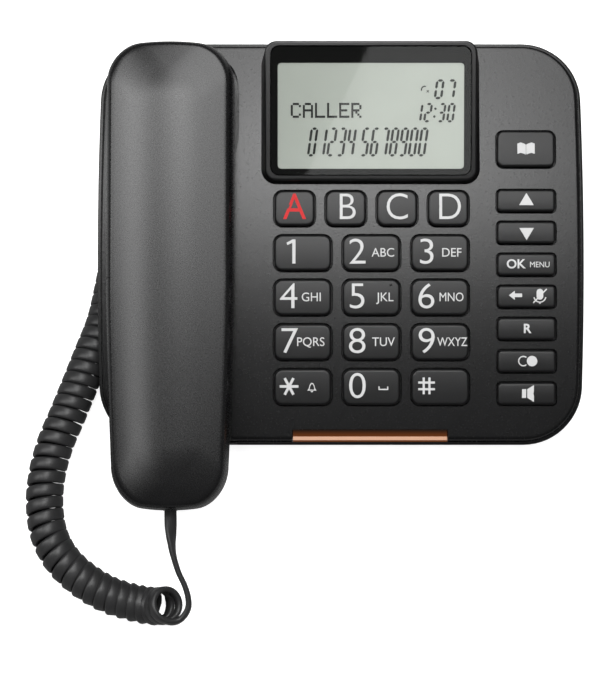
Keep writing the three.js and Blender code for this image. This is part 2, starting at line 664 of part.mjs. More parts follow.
function makeFrontShell() {
  const gripOuter = [[5, -GRIP_DEPTH], [1.6, -GRIP_DEPTH + 2.2], [0, -5], [0, -GAP / 2]];
  const gripInner = [[WALL + 1.6, -GRIP_DEPTH + WALL], [WALL, -5.5], [WALL, 1]];
  const outer = join(
    toSolid(loft(shellRings(gripOuter, 0))),
    cup(EAR, 0, 24),
    cup(MOUTH, 0, 24),
  );
  const inner = join(
    toSolid(loft(shellRings(gripInner, 0))),
    cup(EAR, WALL, 24),
    cup(MOUTH, WALL, 24),
  );
  const plugMouth = toSolid(box(
    -PLUG.width / 2 - GAP, PLUG.width / 2 + GAP,
    -HANDSET_HALF_LENGTH - 3, -HANDSET_HALF_LENGTH + 8,
    HANDSET_JACK_Z - PLUG.height / 2 - GAP, HANDSET_JACK_Z + PLUG.height / 2 + GAP,
  ));
  const earHoles = [-1, 0, 1].map((row) => toSolid(box(
    -EAR_SLOT.halfLength, EAR_SLOT.halfLength,
    EAR.y + row * EAR_SLOT.pitch - EAR_SLOT.halfWidth,
    EAR.y + row * EAR_SLOT.pitch + EAR_SLOT.halfWidth,
    -EAR.depth - 2, -EAR.depth + WALL + 1,
  )));
  const mouthHole = toSolid(box(
    -1, 1, MOUTH.y - 1, MOUTH.y + 1, -MOUTH.depth - 2, -MOUTH.depth + WALL + 1,
  ));
  const screwHoles = HANDSET_SCREWS.flatMap((y) => [
    toSolid(post(0, y, SCREW_RADIUS + GAP, -30, 2, 8)),
    toSolid(post(0, y, SCREW_HEAD_RADIUS + GAP, -30, -GRIP_DEPTH + 1.2, 10)),
  ]);
  return cut(outer, inner, plugMouth, ...earHoles, mouthHole, ...screwHoles);
}

const HANDSET_SCREWS = [-38, 38];
addMesh(handset, 'handset_front_shell', toGeometry(makeFrontShell()), shellPlastic);

addMesh(handset, 'earpiece_capsule', post(
  0, EAR.y, EARPIECE.radius, EARPIECE.low, EARPIECE.high, 18,
), capsuleMetal);
addMesh(handset, 'microphone_capsule', post(
  0, MOUTH.y, MICROPHONE.radius, MICROPHONE.low, MICROPHONE.high,
), capsuleMetal);
addMesh(handset, 'handset_ballast', box(
  -BALLAST.halfWidth, BALLAST.halfWidth, -BALLAST.halfLength, BALLAST.halfLength,
  BALLAST.low, BALLAST.high,
), zincSteel);
addMesh(handset, 'handset_jack', makeHandsetJack(), jackPlastic)
  .position.set(0, -HANDSET_HALF_LENGTH + WALL + 2.1, HANDSET_JACK_Z);
addMesh(handset, 'handset_plug', makePlug(2), plugPlastic)
  .position.set(0, -HANDSET_HALF_LENGTH + 1, HANDSET_JACK_Z);

// --------------------------------------------------------- screws and feet
// A pan-head screw pointing up from its head's underside at the origin.
function makeScrew(length) {
  return toGeometry(join(
    toSolid(post(0, 0, SCREW_RADIUS, 0, length, 8)),
    toSolid(post(0, 0, SCREW_HEAD_RADIUS, -1, 0.6, 10)),
  ));
}
HANDSET_SCREWS.forEach((y, i) => {
  addMesh(handset, `handset_screw_${i + 1}`, makeScrew(8), zincSteel)
    .position.set(0, y, -GRIP_DEPTH + 0.3);
});
SCREW_BOSSES.forEach(([x, y], i) => {
  addMesh(telephone, `base_screw_${i + 1}`, makeScrew(10), zincSteel)
    .position.set(x, y, FLOOR_UNDERSIDE + 0.3);
});
FEET.forEach(([x, y], i) => {
  addMesh(telephone, `foot_${i + 1}`, post(x, y, FOOT_RADIUS, 0, FOOT_HEIGHT, 16), footRubber);
});

// --------------------------------------------------------------------- cord
// The coiled stretch, from the jack under the base's left edge, out round the
// handset's mouth end, where its last turns tip up towards the lead.
const COIL_ROUTE = [
  [-97.5, 46, COIL_Z], [-98.6, 30, COIL_Z], [-100.3, 12, COIL_Z], [-102.8, -3.5, COIL_Z],
  [-105.9, -17.3, COIL_Z], [-111.0, -31, COIL_Z], [-116.1, -44.7, COIL_Z],
  [-121.3, -58.3, COIL_Z], [-126.6, -71.8, COIL_Z], [-129.8, -85.2, COIL_Z],
  [-130.6, -98.6, COIL_Z], [-128.3, -111.9, COIL_Z], [-122.3, -122.9, COIL_Z],
  [-113, -131.6, COIL_Z], [-102, -138.1, COIL_Z], [-92.2, -141.3, COIL_Z],
  [-85.5, -142.4, 8.9], [-80, -142.9, 11.5], [-76.5, -143, 16],
];
// The plain lead at the handset's end, and the short one at the base's jack.
const HANDSET_LEAD_ROUTE = [
  [-73.9, -105.4, 27], [-73.7, -113, 25.4], [-72.9, -121.5, 23.6], [-70.6, -129.5, 21.7],
  [-67.8, -135.5, 20.1], [-66.4, -140.6, 18.8], [-66.6, -144.6, 17.7], [-69, -148, 16.8],
  [-73, -149.6, 16.8],
];
const BASE_LEAD_ROUTE = [
  [-95, 60.4, COIL_Z], [-95.6, 56, COIL_Z], [-96.9, 50, COIL_Z], [-97.3, 47, COIL_Z],
];

function cordTube(route, radius, sides, steps) {
  const curve = new THREE.CatmullRomCurve3(route.map((p) => new THREE.Vector3(...p)));
  const circle = new THREE.Shape(Array.from({ length: sides }, (_, i) => {
    const angle = ((i + 0.5) / sides) * 2 * Math.PI;
    return new THREE.Vector2(radius * Math.cos(angle), radius * Math.sin(angle));
  }));
  return new THREE.ExtrudeGeometry(circle, { steps, extrudePath: curve, bevelEnabled: false });
}
addMesh(telephone, 'cord_coil', cordTube(COIL_ROUTE, COIL_RADIUS, 10, 40), cordVinyl);
addMesh(telephone, 'cord_lead_handset', cordTube(HANDSET_LEAD_ROUTE, LEAD_RADIUS, 8, 14), cordVinyl);
addMesh(telephone, 'cord_lead_base', cordTube(BASE_LEAD_ROUTE, LEAD_RADIUS, 8, 5), cordVinyl);

export default telephone;
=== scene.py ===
"""Corded desk telephone: fine meshes, materials, light and camera.

Lengths are millimetres unless a name ends in _M; meshes are scaled to metres
when they are made. +X is the user's right, +Y the rear and +Z up.
"""
import json
import math

import bmesh
import bpy
from mathutils import Matrix, Vector

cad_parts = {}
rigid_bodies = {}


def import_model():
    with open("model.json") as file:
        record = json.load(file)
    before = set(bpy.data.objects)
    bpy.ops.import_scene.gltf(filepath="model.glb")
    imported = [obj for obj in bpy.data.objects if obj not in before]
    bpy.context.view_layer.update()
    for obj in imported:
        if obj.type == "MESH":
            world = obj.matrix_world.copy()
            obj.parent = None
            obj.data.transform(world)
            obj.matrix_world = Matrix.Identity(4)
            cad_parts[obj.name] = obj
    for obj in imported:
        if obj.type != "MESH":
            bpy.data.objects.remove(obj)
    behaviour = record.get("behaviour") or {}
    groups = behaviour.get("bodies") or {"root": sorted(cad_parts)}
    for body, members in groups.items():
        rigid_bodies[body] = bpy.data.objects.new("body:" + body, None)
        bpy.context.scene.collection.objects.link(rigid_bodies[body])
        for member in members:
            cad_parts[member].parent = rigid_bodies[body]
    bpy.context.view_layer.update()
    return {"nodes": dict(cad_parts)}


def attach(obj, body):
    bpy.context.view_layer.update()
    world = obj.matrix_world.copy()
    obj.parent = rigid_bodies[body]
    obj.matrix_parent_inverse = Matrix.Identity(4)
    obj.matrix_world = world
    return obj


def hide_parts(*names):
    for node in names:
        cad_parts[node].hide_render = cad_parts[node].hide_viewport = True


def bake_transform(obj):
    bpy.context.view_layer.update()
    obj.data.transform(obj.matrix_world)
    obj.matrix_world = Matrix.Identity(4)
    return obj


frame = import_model()
MM = 0.001

# ------------------------------------------------------------- dimensions
GAP = 0.3                              # between pieces that meet
BASE_HALF_WIDTH = 107.0
BASE_FRONT, BASE_REAR = -74.6, 102.0
BASE_DEPTH = BASE_REAR - BASE_FRONT
BASE_MIDDLE = (BASE_FRONT + BASE_REAR) / 2
BASE_CORNER = 25.0
BASE_SIDE_BOW = 1.8
FRONT_TRIM = 1.2                       # the front edge curves back this much
FACE_FRONT_HEIGHT = 19.4
FACE_FRONT_SLOPE = math.tan(math.radians(13))
FACE_BEND = (FACE_FRONT_SLOPE - math.tan(math.radians(5))) / BASE_DEPTH
WALL = 2.2
RIM_DEPTH = 7.0
TOP_INSET = 1.6
FLOOR_UNDERSIDE = 2.2
FLOOR_TAPER = 4.0
TAPER_HEIGHT = 11.5
TAPER_FRONT_RISE = 4.9
LIP_DEPTH = 2.2                        # the rim round the face stands this far below it
HOOK_HOLE = (-79.2, -68.6, 49.2, 54.8)
LINE_OPENING = (55.1, 64.9, 96, 109, 14.7, 21.3)
SCREW_PLACES = ((-38, -60), (62.4, -60), (90, 90), (-38, 86))
SCREW_HOLE_RADIUS, SCREW_HEAD_RADIUS = 1.5, 2.9
SOUND_SLOTS = {"left": -20, "right": 4, "y": -8, "pitch": 5, "half_width": 1}

KEY_GAP = 0.5
KEY_RISE = 2.0
KEY_EDGE = 1.0
KEY_CROWN = 0.22                       # a key's top falls this much at its front and rear
KEY_BOTTOM = -5.0
FLANGE_TOP, FLANGE_BOTTOM, FLANGE_WIDTH = -2.8, -4.2, 0.8
DIGIT_SLOT = (26.0, 16.6, 4.0)
LETTER_SLOT = (18.6, 16.4, 4.0)
SLOT_CHAMFER = 0.25
BOOK_SLOT = (26.4, 16.9, 3.4)
FUNCTION_SLOT = (26.4, 10.6, 2.2)
NUB_X, NUB_Y = 8.4, 5.38
NUB_RADIUS, NUB_EDGE, NUB_RISE = 0.62, 0.45, 0.35

DISPLAY_MIDDLE = 13.1
DISPLAY_HALF_WIDTH = 46.5
DISPLAY_FRONT, DISPLAY_REAR = 39.0, 98.0
DISPLAY_FRONT_RISE, DISPLAY_REAR_RISE = 5.0, 14.0
DISPLAY_CORNER = 5.0
DISPLAY_DRAFT = 1.6
WINDOW_WIDTH, WINDOW_HEIGHT, WINDOW_THICKNESS, WINDOW_CORNER = 88.0, 56.4, 1.4, 4.0
LCD_SHIFT, LCD_DROP = -2.2, 1.9
VIEW_WIDTH, VIEW_HEIGHT = 81.6, 46.2

HANDSET_X, HANDSET_Y, HANDSET_Z = -73.9, -3.5, 48.9
HANDSET_PITCH = math.radians(9.05)
HANDSET_HALF_LENGTH, HANDSET_HALF_WIDTH = 101.5, 27.5
HANDSET_CORNER = 14.0
HANDSET_END_BOW = 3.5
HANDSET_TAPER = 0.11
MOUTH_REACH = 0.9
EAR_SHORTFALL = 1.4                    # the rear end stops this much short
HANDSET_CROWN = 16.5
EAR = {"y": 72.3, "half_x": 25.5, "half_y": 23.0, "depth": 26.0}
MOUTH = {"y": -72.0, "half_x": 23.5, "half_y": 22.0, "depth": 18.0}
WELL_CLEARANCE = 1.5
EAR_WELL = {"x": 1.05, "half_x": 28.1, "half_y": 26.0}
MOUTH_WELL = {"x": 0.0, "half_x": 26.0, "half_y": 26.0}

BAY_WALL, BAY_FRONT, BAY_REAR, BAY_HEIGHT = -88.5, -43.0, 62.0, 17.4
COIL_Z = 8.3
CABLE_WIDTH, CABLE_THICKNESS = 5.4, 2.5
COIL_CENTRE_RADIUS = 7.05

BAR_MIDDLE, BAR_HALF_LENGTH = 12.8, 33.8
BAR_FRONT, BAR_REAR = -71.5, -69.9
BAR_BOTTOM, BAR_TOP = 14.2, 18.4
NOTCH_REAR, NOTCH_FLOOR = -67.2, 13.9
GUIDE_FRONT = BASE_FRONT + TOP_INSET + FRONT_TRIM - 0.2


def face_height(y):
    run = y - BASE_FRONT
    return FACE_FRONT_HEIGHT + FACE_FRONT_SLOPE * run - 0.5 * FACE_BEND * run * run


def face_matrix(x, y):
    angle = math.atan(FACE_FRONT_SLOPE - FACE_BEND * (y - BASE_FRONT))
    return Matrix.Translation((x, y, face_height(y))) @ Matrix.Rotation(angle, 4, "X")


handset_matrix = (
    Matrix.Translation((HANDSET_X, HANDSET_Y, HANDSET_Z))
    @ Matrix.Rotation(HANDSET_PITCH, 4, "X")
)
display_front_z = face_height(DISPLAY_FRONT) + DISPLAY_FRONT_RISE
display_rear_z = face_height(DISPLAY_REAR) + DISPLAY_REAR_RISE
display_slope = (display_rear_z - display_front_z) / (DISPLAY_REAR - DISPLAY_FRONT)
display_matrix = (
    Matrix.Translation((
        DISPLAY_MIDDLE,
        (DISPLAY_FRONT + DISPLAY_REAR) / 2,
        (display_front_z + display_rear_z) / 2,
    ))
    @ Matrix.Rotation(math.atan(display_slope), 4, "X")
)


# ------------------------------------------------------------ mesh helpers
def link(obj):
    bpy.context.scene.collection.objects.link(obj)
    return obj


def make_object(name, verts, faces, matrix=None):
    """A closed mesh from millimetre points, with its faces turned outwards."""
    move = matrix or Matrix.Identity(4)
    mesh = bpy.data.meshes.new(name)
    mesh.from_pydata([(move @ Vector(v)) * MM for v in verts], [], faces)
    work = bmesh.new()
    work.from_mesh(mesh)
    bmesh.ops.remove_doubles(work, verts=work.verts, dist=1e-7)
    bmesh.ops.recalc_face_normals(work, faces=work.faces)
    work.to_mesh(mesh)
    work.free()
    return link(bpy.data.objects.new(name, mesh))


def smooth(obj, angle=32):
    """Smooth shading, with edges sharper than the angle kept crisp."""
    obj.data.shade_smooth()
    obj.data.set_sharp_from_angle(angle=math.radians(angle))


def loft(rings, start="strips", end="strips"):
    """Verts and faces through closed rings of 3D points, with both ends capped.

    strips joins each point of the right half to its mirror image on the left;
    flat is one face.
    """
    count = len(rings[0])
    verts = [point for ring in rings for point in ring]
    faces = []
    for ring in range(len(rings) - 1):
        low = ring * count
        high = low + count
        for i in range(count):
            j = (i + 1) % count
            faces.append((low + i, low + j, high + j, high + i))
    for kind, first in ((start, 0), (end, (len(rings) - 1) * count)):
        if kind == "flat":
            faces.append(tuple(range(first, first + count)))
        else:
            last = first + count - 1
            for i in range(count // 2 - 1):
                faces.append((first + i, first + i + 1, last - i - 1, last - i))
    return verts, faces


def boolean(target, tool, operation):
    """Joins, cuts or crosses target with tool, and removes tool."""
    change = target.modifiers.new("change", "BOOLEAN")
    change.object = tool
    change.operation = operation
    change.solver = "EXACT"
    graph = bpy.context.evaluated_depsgraph_get()
    mesh = bpy.data.meshes.new_from_object(target.evaluated_get(graph))
    target.modifiers.clear()
    target.data = mesh
    bpy.data.objects.remove(tool)


def prism(name, outline, bottom, top, matrix=None):
    """A closed outline drawn up from bottom to top."""
    rings = [[(x, y, z) for x, y in outline] for z in (bottom, top)]
    return make_object(name, *loft(rings, "flat", "flat"), matrix)


def block(name, x0, x1, y0, y1, z0, z1):
    return prism(name, [(x1, y1), (x1, y0), (x0, y0), (x0, y1)], z0, z1)


def joined(parts):
    """Several (verts, faces) pairs as one."""
    verts, faces = [], []
    for part_verts, part_faces in parts:
        faces += [tuple(i + len(verts) for i in face) for face in part_faces]
        verts += part_verts
    return verts, faces


def arc(x, y, radius, start, end, steps):
    """Points on an arc, angles in degrees."""
    angles = [math.radians(start + (end - start) * i / steps) for i in range(steps + 1)]
    return [(x + radius * math.cos(a), y + radius * math.sin(a)) for a in angles]


def disc(x, y, radius, steps=28):
    return arc(x, y, radius, 0, 360 - 360 / steps, steps - 1)


def right_half(half_x, half_y, corner, steps, side_steps=1, end_steps=1):
    """The right half of a rounded rectangle, from its rear to its front.

    side_steps and end_steps divide the straight sides and ends.
    """
    flat = half_x - corner
    rear_points = end_steps if end_steps > 1 else 0
    rear = [(flat * (i + 0.02) / end_steps, half_y) for i in range(rear_points)]
    first = arc(flat, half_y - corner, corner, 90, 0, steps)
    second = [(x, -y) for x, y in reversed(first)]
    y0 = first[-1][1]
    side = [(half_x, y0 - 2 * y0 * i / side_steps) for i in range(1, side_steps)]
    front = [(x, -y) for x, y in reversed(rear)]
    return rear + first + side + second + front


def mirrored(half):
    """A closed outline from its right half."""
    return half + [(-x, y) for x, y in reversed(half)]


def rounded(half_x, half_y, corner, steps=6):
    return mirrored(right_half(half_x, half_y, corner, steps))


def soft_square(half_x, half_y, x0=0.0, y0=0.0, sides=72):
    """A superellipse of the fourth degree."""
    points = []
    for i in range(sides):
        angle = 2 * math.pi * i / sides
        c, s = math.cos(angle), math.sin(angle)
        points.append((
            x0 + half_x * math.copysign(math.sqrt(abs(c)), c),
            y0 + half_y * math.copysign(math.sqrt(abs(s)), s),
        ))
    return points


def quarter_round(radius, steps=6):
    """(inset, drop) pairs round an edge, from the side wall to the top."""
    pairs = []
    for i in range(steps + 1):
        angle = math.radians(90 * i / steps)
        pairs.append((radius * (1 - math.cos(angle)), radius * (1 - math.sin(angle))))
    return pairs


# --------------------------------------------------------------- materials
NOISE_LOW, NOISE_HIGH = 0.3, 0.7       # most of a noise texture's values lie between these


def shader(name):
    material = bpy.data.materials.new(name)
    material.use_nodes = True
    nodes = material.node_tree.nodes
    return material, nodes, material.node_tree.links, nodes["Principled BSDF"]


def new_node(nodes, kind, inputs=None):
    """A new node with some of its inputs set."""
    node = nodes.new("ShaderNode" + kind)
    set_inputs(node, inputs or {})
    return node


def set_inputs(node, inputs):
    for name, value in inputs.items():
        node.inputs[name].default_value = value


def noise(nodes, links, place, size, detail=2.0):
    """A noise texture whose features are about size millimetres."""
    texture = new_node(nodes, "TexNoise", {"Scale": 1 / (size * MM), "Detail": detail})
    links.new(place.outputs["Object"], texture.inputs["Vector"])
    return texture


def ranged(nodes, links, source, low, high):
    """The source's middle values spread between low and high."""
    spread = new_node(nodes, "MapRange", {
        "From Min": NOISE_LOW, "From Max": NOISE_HIGH, "To Min": low, "To Max": high,
    })
    links.new(source, spread.inputs["Value"])
    return spread.outputs["Result"]


def tinted(nodes, links, source, dark, light):
    """The source's middle values as a blend from dark to light."""
    ramp = new_node(nodes, "ValToRGB")
    ramp.color_ramp.elements[0].position = NOISE_LOW
    ramp.color_ramp.elements[1].position = NOISE_HIGH
    ramp.color_ramp.elements[0].color = (*dark, 1)
    ramp.color_ramp.elements[1].color = (*light, 1)
    links.new(source, ramp.inputs["Fac"])
    return ramp.outputs["Color"]


def moulded(name, colour, roughness, grain=0.2, grain_size=0.45, depth=0.02,
            vary=0.12, metallic=0.0, specular=0.5):
    """Moulded plastic, rubber or metal with a fine grain and uneven gloss."""
    material, nodes, links, surface = shader(name)
    place = new_node(nodes, "TexCoord")
    fine = noise(nodes, links, place, grain_size, 3.0)
    wide = noise(nodes, links, place, 14.0)
    dark = [c * (1 - vary) for c in colour]
    light = [c * (1 + vary) for c in colour]
    links.new(
        tinted(nodes, links, wide.outputs["Fac"], dark, light),
        surface.inputs["Base Color"],
    )
    links.new(
        ranged(nodes, links, fine.outputs["Fac"], roughness * 0.93, roughness * 1.07),
        surface.inputs["Roughness"],
    )
    bump = new_node(nodes, "Bump", {"Strength": grain, "Distance": depth * MM})
    links.new(fine.outputs["Fac"], bump.inputs["Height"])
    links.new(bump.outputs["Normal"], surface.inputs["Normal"])
    set_inputs(surface, {"Metallic": metallic, "Specular IOR Level": specular})
    return material


def clear_window():
    """Clear acrylic: see-through, with a mirror film that grows at grazing angles."""
    material, nodes, links, _ = shader("clear_acrylic")
    nodes.clear()
    place = new_node(nodes, "TexCoord")
    smear = noise(nodes, links, place, 9.0)
    gloss = new_node(nodes, "BsdfGlossy")
    links.new(
        ranged(nodes, links, smear.outputs["Fac"], 0.015, 0.03),
        gloss.inputs["Roughness"],
    )
    clear = new_node(nodes, "BsdfTransparent", {"Color": (0.97, 0.98, 0.97, 1)})
    film = new_node(nodes, "Fresnel", {"IOR": 1.45})
    mix = new_node(nodes, "MixShader")
    links.new(film.outputs["Fac"], mix.inputs["Fac"])
    links.new(clear.outputs["BSDF"], mix.inputs[1])
    links.new(gloss.outputs["BSDF"], mix.inputs[2])
    output = new_node(nodes, "OutputMaterial")
    links.new(mix.outputs["Shader"], output.inputs["Surface"])
    return material


def glowing(name, colour, glow, strength):
    """Tinted light guide: unevenly lit plastic."""
    material, nodes, links, surface = shader(name)
    place = new_node(nodes, "TexCoord")
    cloud = noise(nodes, links, place, 6.0)
    links.new(
        tinted(nodes, links, cloud.outputs["Fac"], [c * 0.93 for c in glow], glow),
        surface.inputs["Emission Color"],
    )
    set_inputs(surface, {
        "Emission Strength": strength, "Base Color": (*colour, 1), "Roughness": 0.3,
    })
    return material


housing_plastic = moulded("housing_plastic", (0.0035, 0.0035, 0.0037), 0.26, 0.55, 0.75, 0.04)
handset_plastic = moulded("handset_plastic", (0.004, 0.004, 0.0042), 0.27, 0.12, 0.7, 0.02)
key_plastic = moulded("key_plastic", (0.006, 0.006, 0.0063), 0.36, 0.15, 0.4, 0.02, 0.12, 0.0, 0.42)
frame_plastic = moulded("display_frame_plastic", (0.004, 0.004, 0.0042), 0.30, 0.05)
print_black = moulded("window_print", (0.002, 0.002, 0.002), 0.5, 0.02)
acrylic = clear_window()
lcd_film = moulded("lcd_film", (0.64, 0.662, 0.622), 0.12, 0.01, 0.3, 0.005, 0.02, 0.22)
lcd_ink = moulded("lcd_ink", (0.003, 0.0035, 0.003), 0.5, 0.02)
paint_white = moulded("legend_white", (0.52, 0.52, 0.52), 0.5, 0.08, 0.25, 0.01, 0.02, 0.0, 0.2)
paint_red = moulded("legend_red", (0.50, 0.018, 0.02), 0.5, 0.08, 0.25, 0.01, 0.04, 0.0, 0.2)
bar_plastic = glowing("light_bar_lit", (0.05, 0.025, 0.012), (0.62, 0.27, 0.115), 0.78)
cord_vinyl = moulded("cord_vinyl", (0.022, 0.022, 0.0225), 0.38, 0.12, 0.6, 0.02)
foot_rubber = moulded("foot_rubber", (0.02, 0.02, 0.02), 0.8, 0.5, 0.7, 0.05)
jack_plastic = moulded("jack_plastic", (0.01, 0.01, 0.011), 0.4, 0.1)
plug_plastic = moulded("plug_plastic", (0.5, 0.52, 0.53), 0.15, 0.05)
board_laminate = moulded("board_laminate", (0.02, 0.12, 0.045), 0.45, 0.2, 1.2)
mat_silicone = moulded("mat_silicone", (0.25, 0.25, 0.24), 0.65, 0.3)
zinc_steel = moulded("zinc_steel", (0.55, 0.56, 0.57), 0.32, 0.1, 0.3, 0.01, 0.08, 1.0)
capsule_metal = moulded("capsule_metal", (0.4, 0.41, 0.42), 0.4, 0.1, 0.3, 0.01, 0.08, 1.0)


def finish_piece(obj, body, slot, material, *nodes):
    """Gives a new piece its material and body, and hides the nodes it replaces. The slot argument
    is not used.
    """
    obj.data.materials.clear()
    obj.data.materials.append(material)
    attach(obj, body)
    if nodes:
        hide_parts(*nodes)


# -------------------------------------------------------------------- cord
COIL_ROUTE = [
    (-97.5, 46, COIL_Z), (-98.6, 30, COIL_Z), (-100.3, 12, COIL_Z), (-102.8, -3.5, COIL_Z),
    (-105.9, -17.3, COIL_Z), (-111.0, -31, COIL_Z), (-116.1, -44.7, COIL_Z),
    (-121.3, -58.3, COIL_Z), (-126.6, -71.8, COIL_Z), (-129.8, -85.2, COIL_Z),
    (-130.6, -98.6, COIL_Z), (-128.3, -111.9, COIL_Z), (-122.3, -122.9, COIL_Z),
    (-113, -131.6, COIL_Z), (-102, -138.1, COIL_Z), (-92.2, -141.3, COIL_Z),
    (-85.2, -142.9, 8.9), (-79.4, -143.6, 11.5), (-75.7, -143.8, 16),
]
HANDSET_LEAD_ROUTE = [
    (-73.9, -105.4, 27), (-73.7, -113, 25.4), (-72.9, -121.5, 23.6), (-70.6, -129.5, 21.7),
    (-67.8, -135.5, 20.1), (-66.3, -140.6, 18.8), (-66.3, -145, 17.7), (-68.6, -148.8, 16.8),
    (-72.4, -150.4, 16.8),
]
BASE_LEAD_ROUTE = [(-95, 60.4, COIL_Z), (-95.6, 56, COIL_Z), (-96.9, 50, COIL_Z)]
STEPS_PER_TURN = 28
COIL_START = math.radians(30)
COIL_EXTENSION = (0.8, 0.2, 2.6)       # the last turn tips up past the route's end
TIGHT_PITCH, OPEN_PITCH, EVEN_PITCH = 4.6, 5.95, 5.45
TIGHT_RUN, OPEN_RUN, EVEN_RUN = 25, 75, 110
EVEN_EASE = 60                         # how slowly the pitch closes again after EVEN_RUN
LEAN, LEAN_RISE = -0.45, 14
HANDSET_LEAD_TWIST = 26.0
LEAD_START = (-73.9, -101.5, 27.6)
LEAD_CUT, COIL_CUT = 7, 3              # points given up where the lead meets the coil
TAIL_CUT = 8                           # points given up where the coil meets the hidden lead
JOIN_STEPS, JOIN_REACH = 10, 0.42


def through(points, steps):
    """A smooth curve through the points, steps positions for each span."""
    points = [Vector(p) for p in points]
    ends = [2 * points[0] - points[1], *points, 2 * points[-1] - points[-2]]
    curve = []
    for i in range(1, len(ends) - 2):
        a, b, c, d = ends[i - 1:i + 3]
        for k in range(steps):
            t = k / steps
            curve.append(0.5 * (
                2 * b + (c - a) * t + (2 * a - 5 * b + 4 * c - d) * t ** 2
                + (3 * b - a - 3 * c + d) * t ** 3
            ))
    return curve + [points[-1]]


def evenly(curve, count):
    """Positions and directions at equal steps along a curve."""
    lengths = [0.0]
    for a, b in zip(curve, curve[1:]):
        lengths.append(lengths[-1] + (b - a).length)
    result = []
    at = 0
    for i in range(count + 1):
        want = lengths[-1] * i / count
        while at < len(curve) - 2 and lengths[at + 1] < want:
            at += 1
        share = (want - lengths[at]) / (lengths[at + 1] - lengths[at])
        result.append(curve[at].lerp(curve[at + 1], share))
    return result, lengths[-1]


def coil_points():
    """The helix from the handset's end, and its outward direction at each point."""
    last = Vector(COIL_ROUTE[-1]) + Vector(COIL_EXTENSION)
    axis_curve = through([last, *reversed(COIL_ROUTE[:-1])], 12)
    length = evenly(axis_curve, 1)[1]
    pieces = round(length)
    axis, _ = evenly(axis_curve, pieces)
    step = length / pieces
    turned = [0.0]
    for i in range(pieces):
        turned.append(turned[-1] + step / coil_pitch(i * step))
    scale = round(turned[-1]) / turned[-1]
    count = round(turned[-1]) * STEPS_PER_TURN
    centres, outward = [], []
    side = None
    at = 0
    for i in range(count + 1):
        turn = i / STEPS_PER_TURN
        while at < pieces - 1 and turned[at + 1] * scale < turn:
            at += 1
        share = (turn - turned[at] * scale) / ((turned[at + 1] - turned[at]) * scale)
        middle = axis[at].lerp(axis[at + 1], share)
        ahead = (axis[min(at + 2, pieces)] - axis[max(at - 1, 0)]).normalized()
        side = Vector((0, -1, 0)) if side is None else side
        side = (side - ahead * side.dot(ahead)).normalized()
        across = ahead.cross(side)
        angle = 2 * math.pi * turn - COIL_START
        out = side * math.cos(angle) + across * math.sin(angle)
        lean = coil_lean((at + share) * step)
        centres.append(middle + out * (COIL_CENTRE_RADIUS - abs(lean)))
        outward.append((out + ahead * lean).normalized())
    return centres, outward


def coil_pitch(run):
    """Millimetres for each turn: tight by the lead, open in the bend, then even."""
    if run < OPEN_RUN:
        widened = (OPEN_PITCH - TIGHT_PITCH) * max(0.0, run - TIGHT_RUN)
        return TIGHT_PITCH + widened / (OPEN_RUN - TIGHT_RUN)
    return max(EVEN_PITCH, OPEN_PITCH - max(0.0, run - EVEN_RUN) / EVEN_EASE)


def coil_lean(run):
    """How far the flat cord tips over where its turns are packed tightly."""
    return LEAN * min(1.0, run / LEAN_RISE) * max(0.0, 1 - run / OPEN_RUN)


def bridge(start, start_way, end, end_way):
    """Points of a smooth curve from start to end, leaving and arriving in the given ways."""
    reach = (end - start).length * JOIN_REACH
    first = start + start_way.normalized() * reach
    second = end - end_way.normalized() * reach
    points = []
    for k in range(1, JOIN_STEPS + 1):
        t = k / JOIN_STEPS
        points.append(
            start * (1 - t) ** 3 + first * (3 * t * (1 - t) ** 2)
            + second * (3 * t * t * (1 - t)) + end * t ** 3
        )
    return points


def cable_frames():
    """Every centre point of the cord with its flat side's direction."""
    coil, coil_out = coil_points()
    lead = through(HANDSET_LEAD_ROUTE, 6)
    base_lead = through(list(reversed(BASE_LEAD_ROUTE)), 6)
    lead = [Vector(LEAD_START).lerp(lead[0], k / 3) for k in range(3)] + lead
    centres, flats = [], []
    run = 0.0
    for i, point in enumerate(lead[:-LEAD_CUT]):
        run += (point - lead[i - 1]).length if i else 0.0
        share = min(run / HANDSET_LEAD_TWIST, 1.0)
        share = share * share * (3 - 2 * share)
        along = (lead[i + 1] - point).normalized()
        outer = Vector((0, 0, 1)).cross(along).normalized()
        flats.append(Vector((0, 0, 1)).lerp(outer, share).normalized())
        centres.append(point)
    first = flats[-1]
    blend = bridge(centres[-1], centres[-1] - centres[-2], coil[COIL_CUT],
                   coil[COIL_CUT + 1] - coil[COIL_CUT])
    for k, point in enumerate(blend[:-1]):
        centres.append(point)
        flats.append(first.lerp(coil_out[COIL_CUT], (k + 1) / len(blend)).normalized())
    centres += coil[COIL_CUT:]
    flats += coil_out[COIL_CUT:]
    tail = bridge(coil[-1], coil[-1] - coil[-2], base_lead[TAIL_CUT],
                  base_lead[TAIL_CUT + 1] - base_lead[TAIL_CUT])
    tail += base_lead[TAIL_CUT + 1:]
    for k, point in enumerate(tail):
        share = (k + 1) / len(tail)
        centres.append(point)
        flats.append(coil_out[-1].lerp(Vector((0, 0, 1)), share).normalized())
    return centres, flats


def cable_section():
    """The cord's flat section with round edges: (across, through) offsets."""
    radius = CABLE_THICKNESS / 2
    half = CABLE_WIDTH / 2 - radius
    right = arc(half, 0, radius, -80, 80, 5)
    return right + [(-x, -y) for x, y in right]


def sweep(centres, flats, section):
    """Rings of the section along the cord."""
    rings = []
    last = len(centres) - 1
    for i, (centre, flat) in enumerate(zip(centres, flats)):
        along = (centres[min(i + 1, last)] - centres[max(i - 1, 0)]).normalized()
        through_dir = (flat - along * flat.dot(along)).normalized()
        across = along.cross(through_dir)
        rings.append([tuple(centre + across * u + through_dir * v) for u, v in section])
    return rings


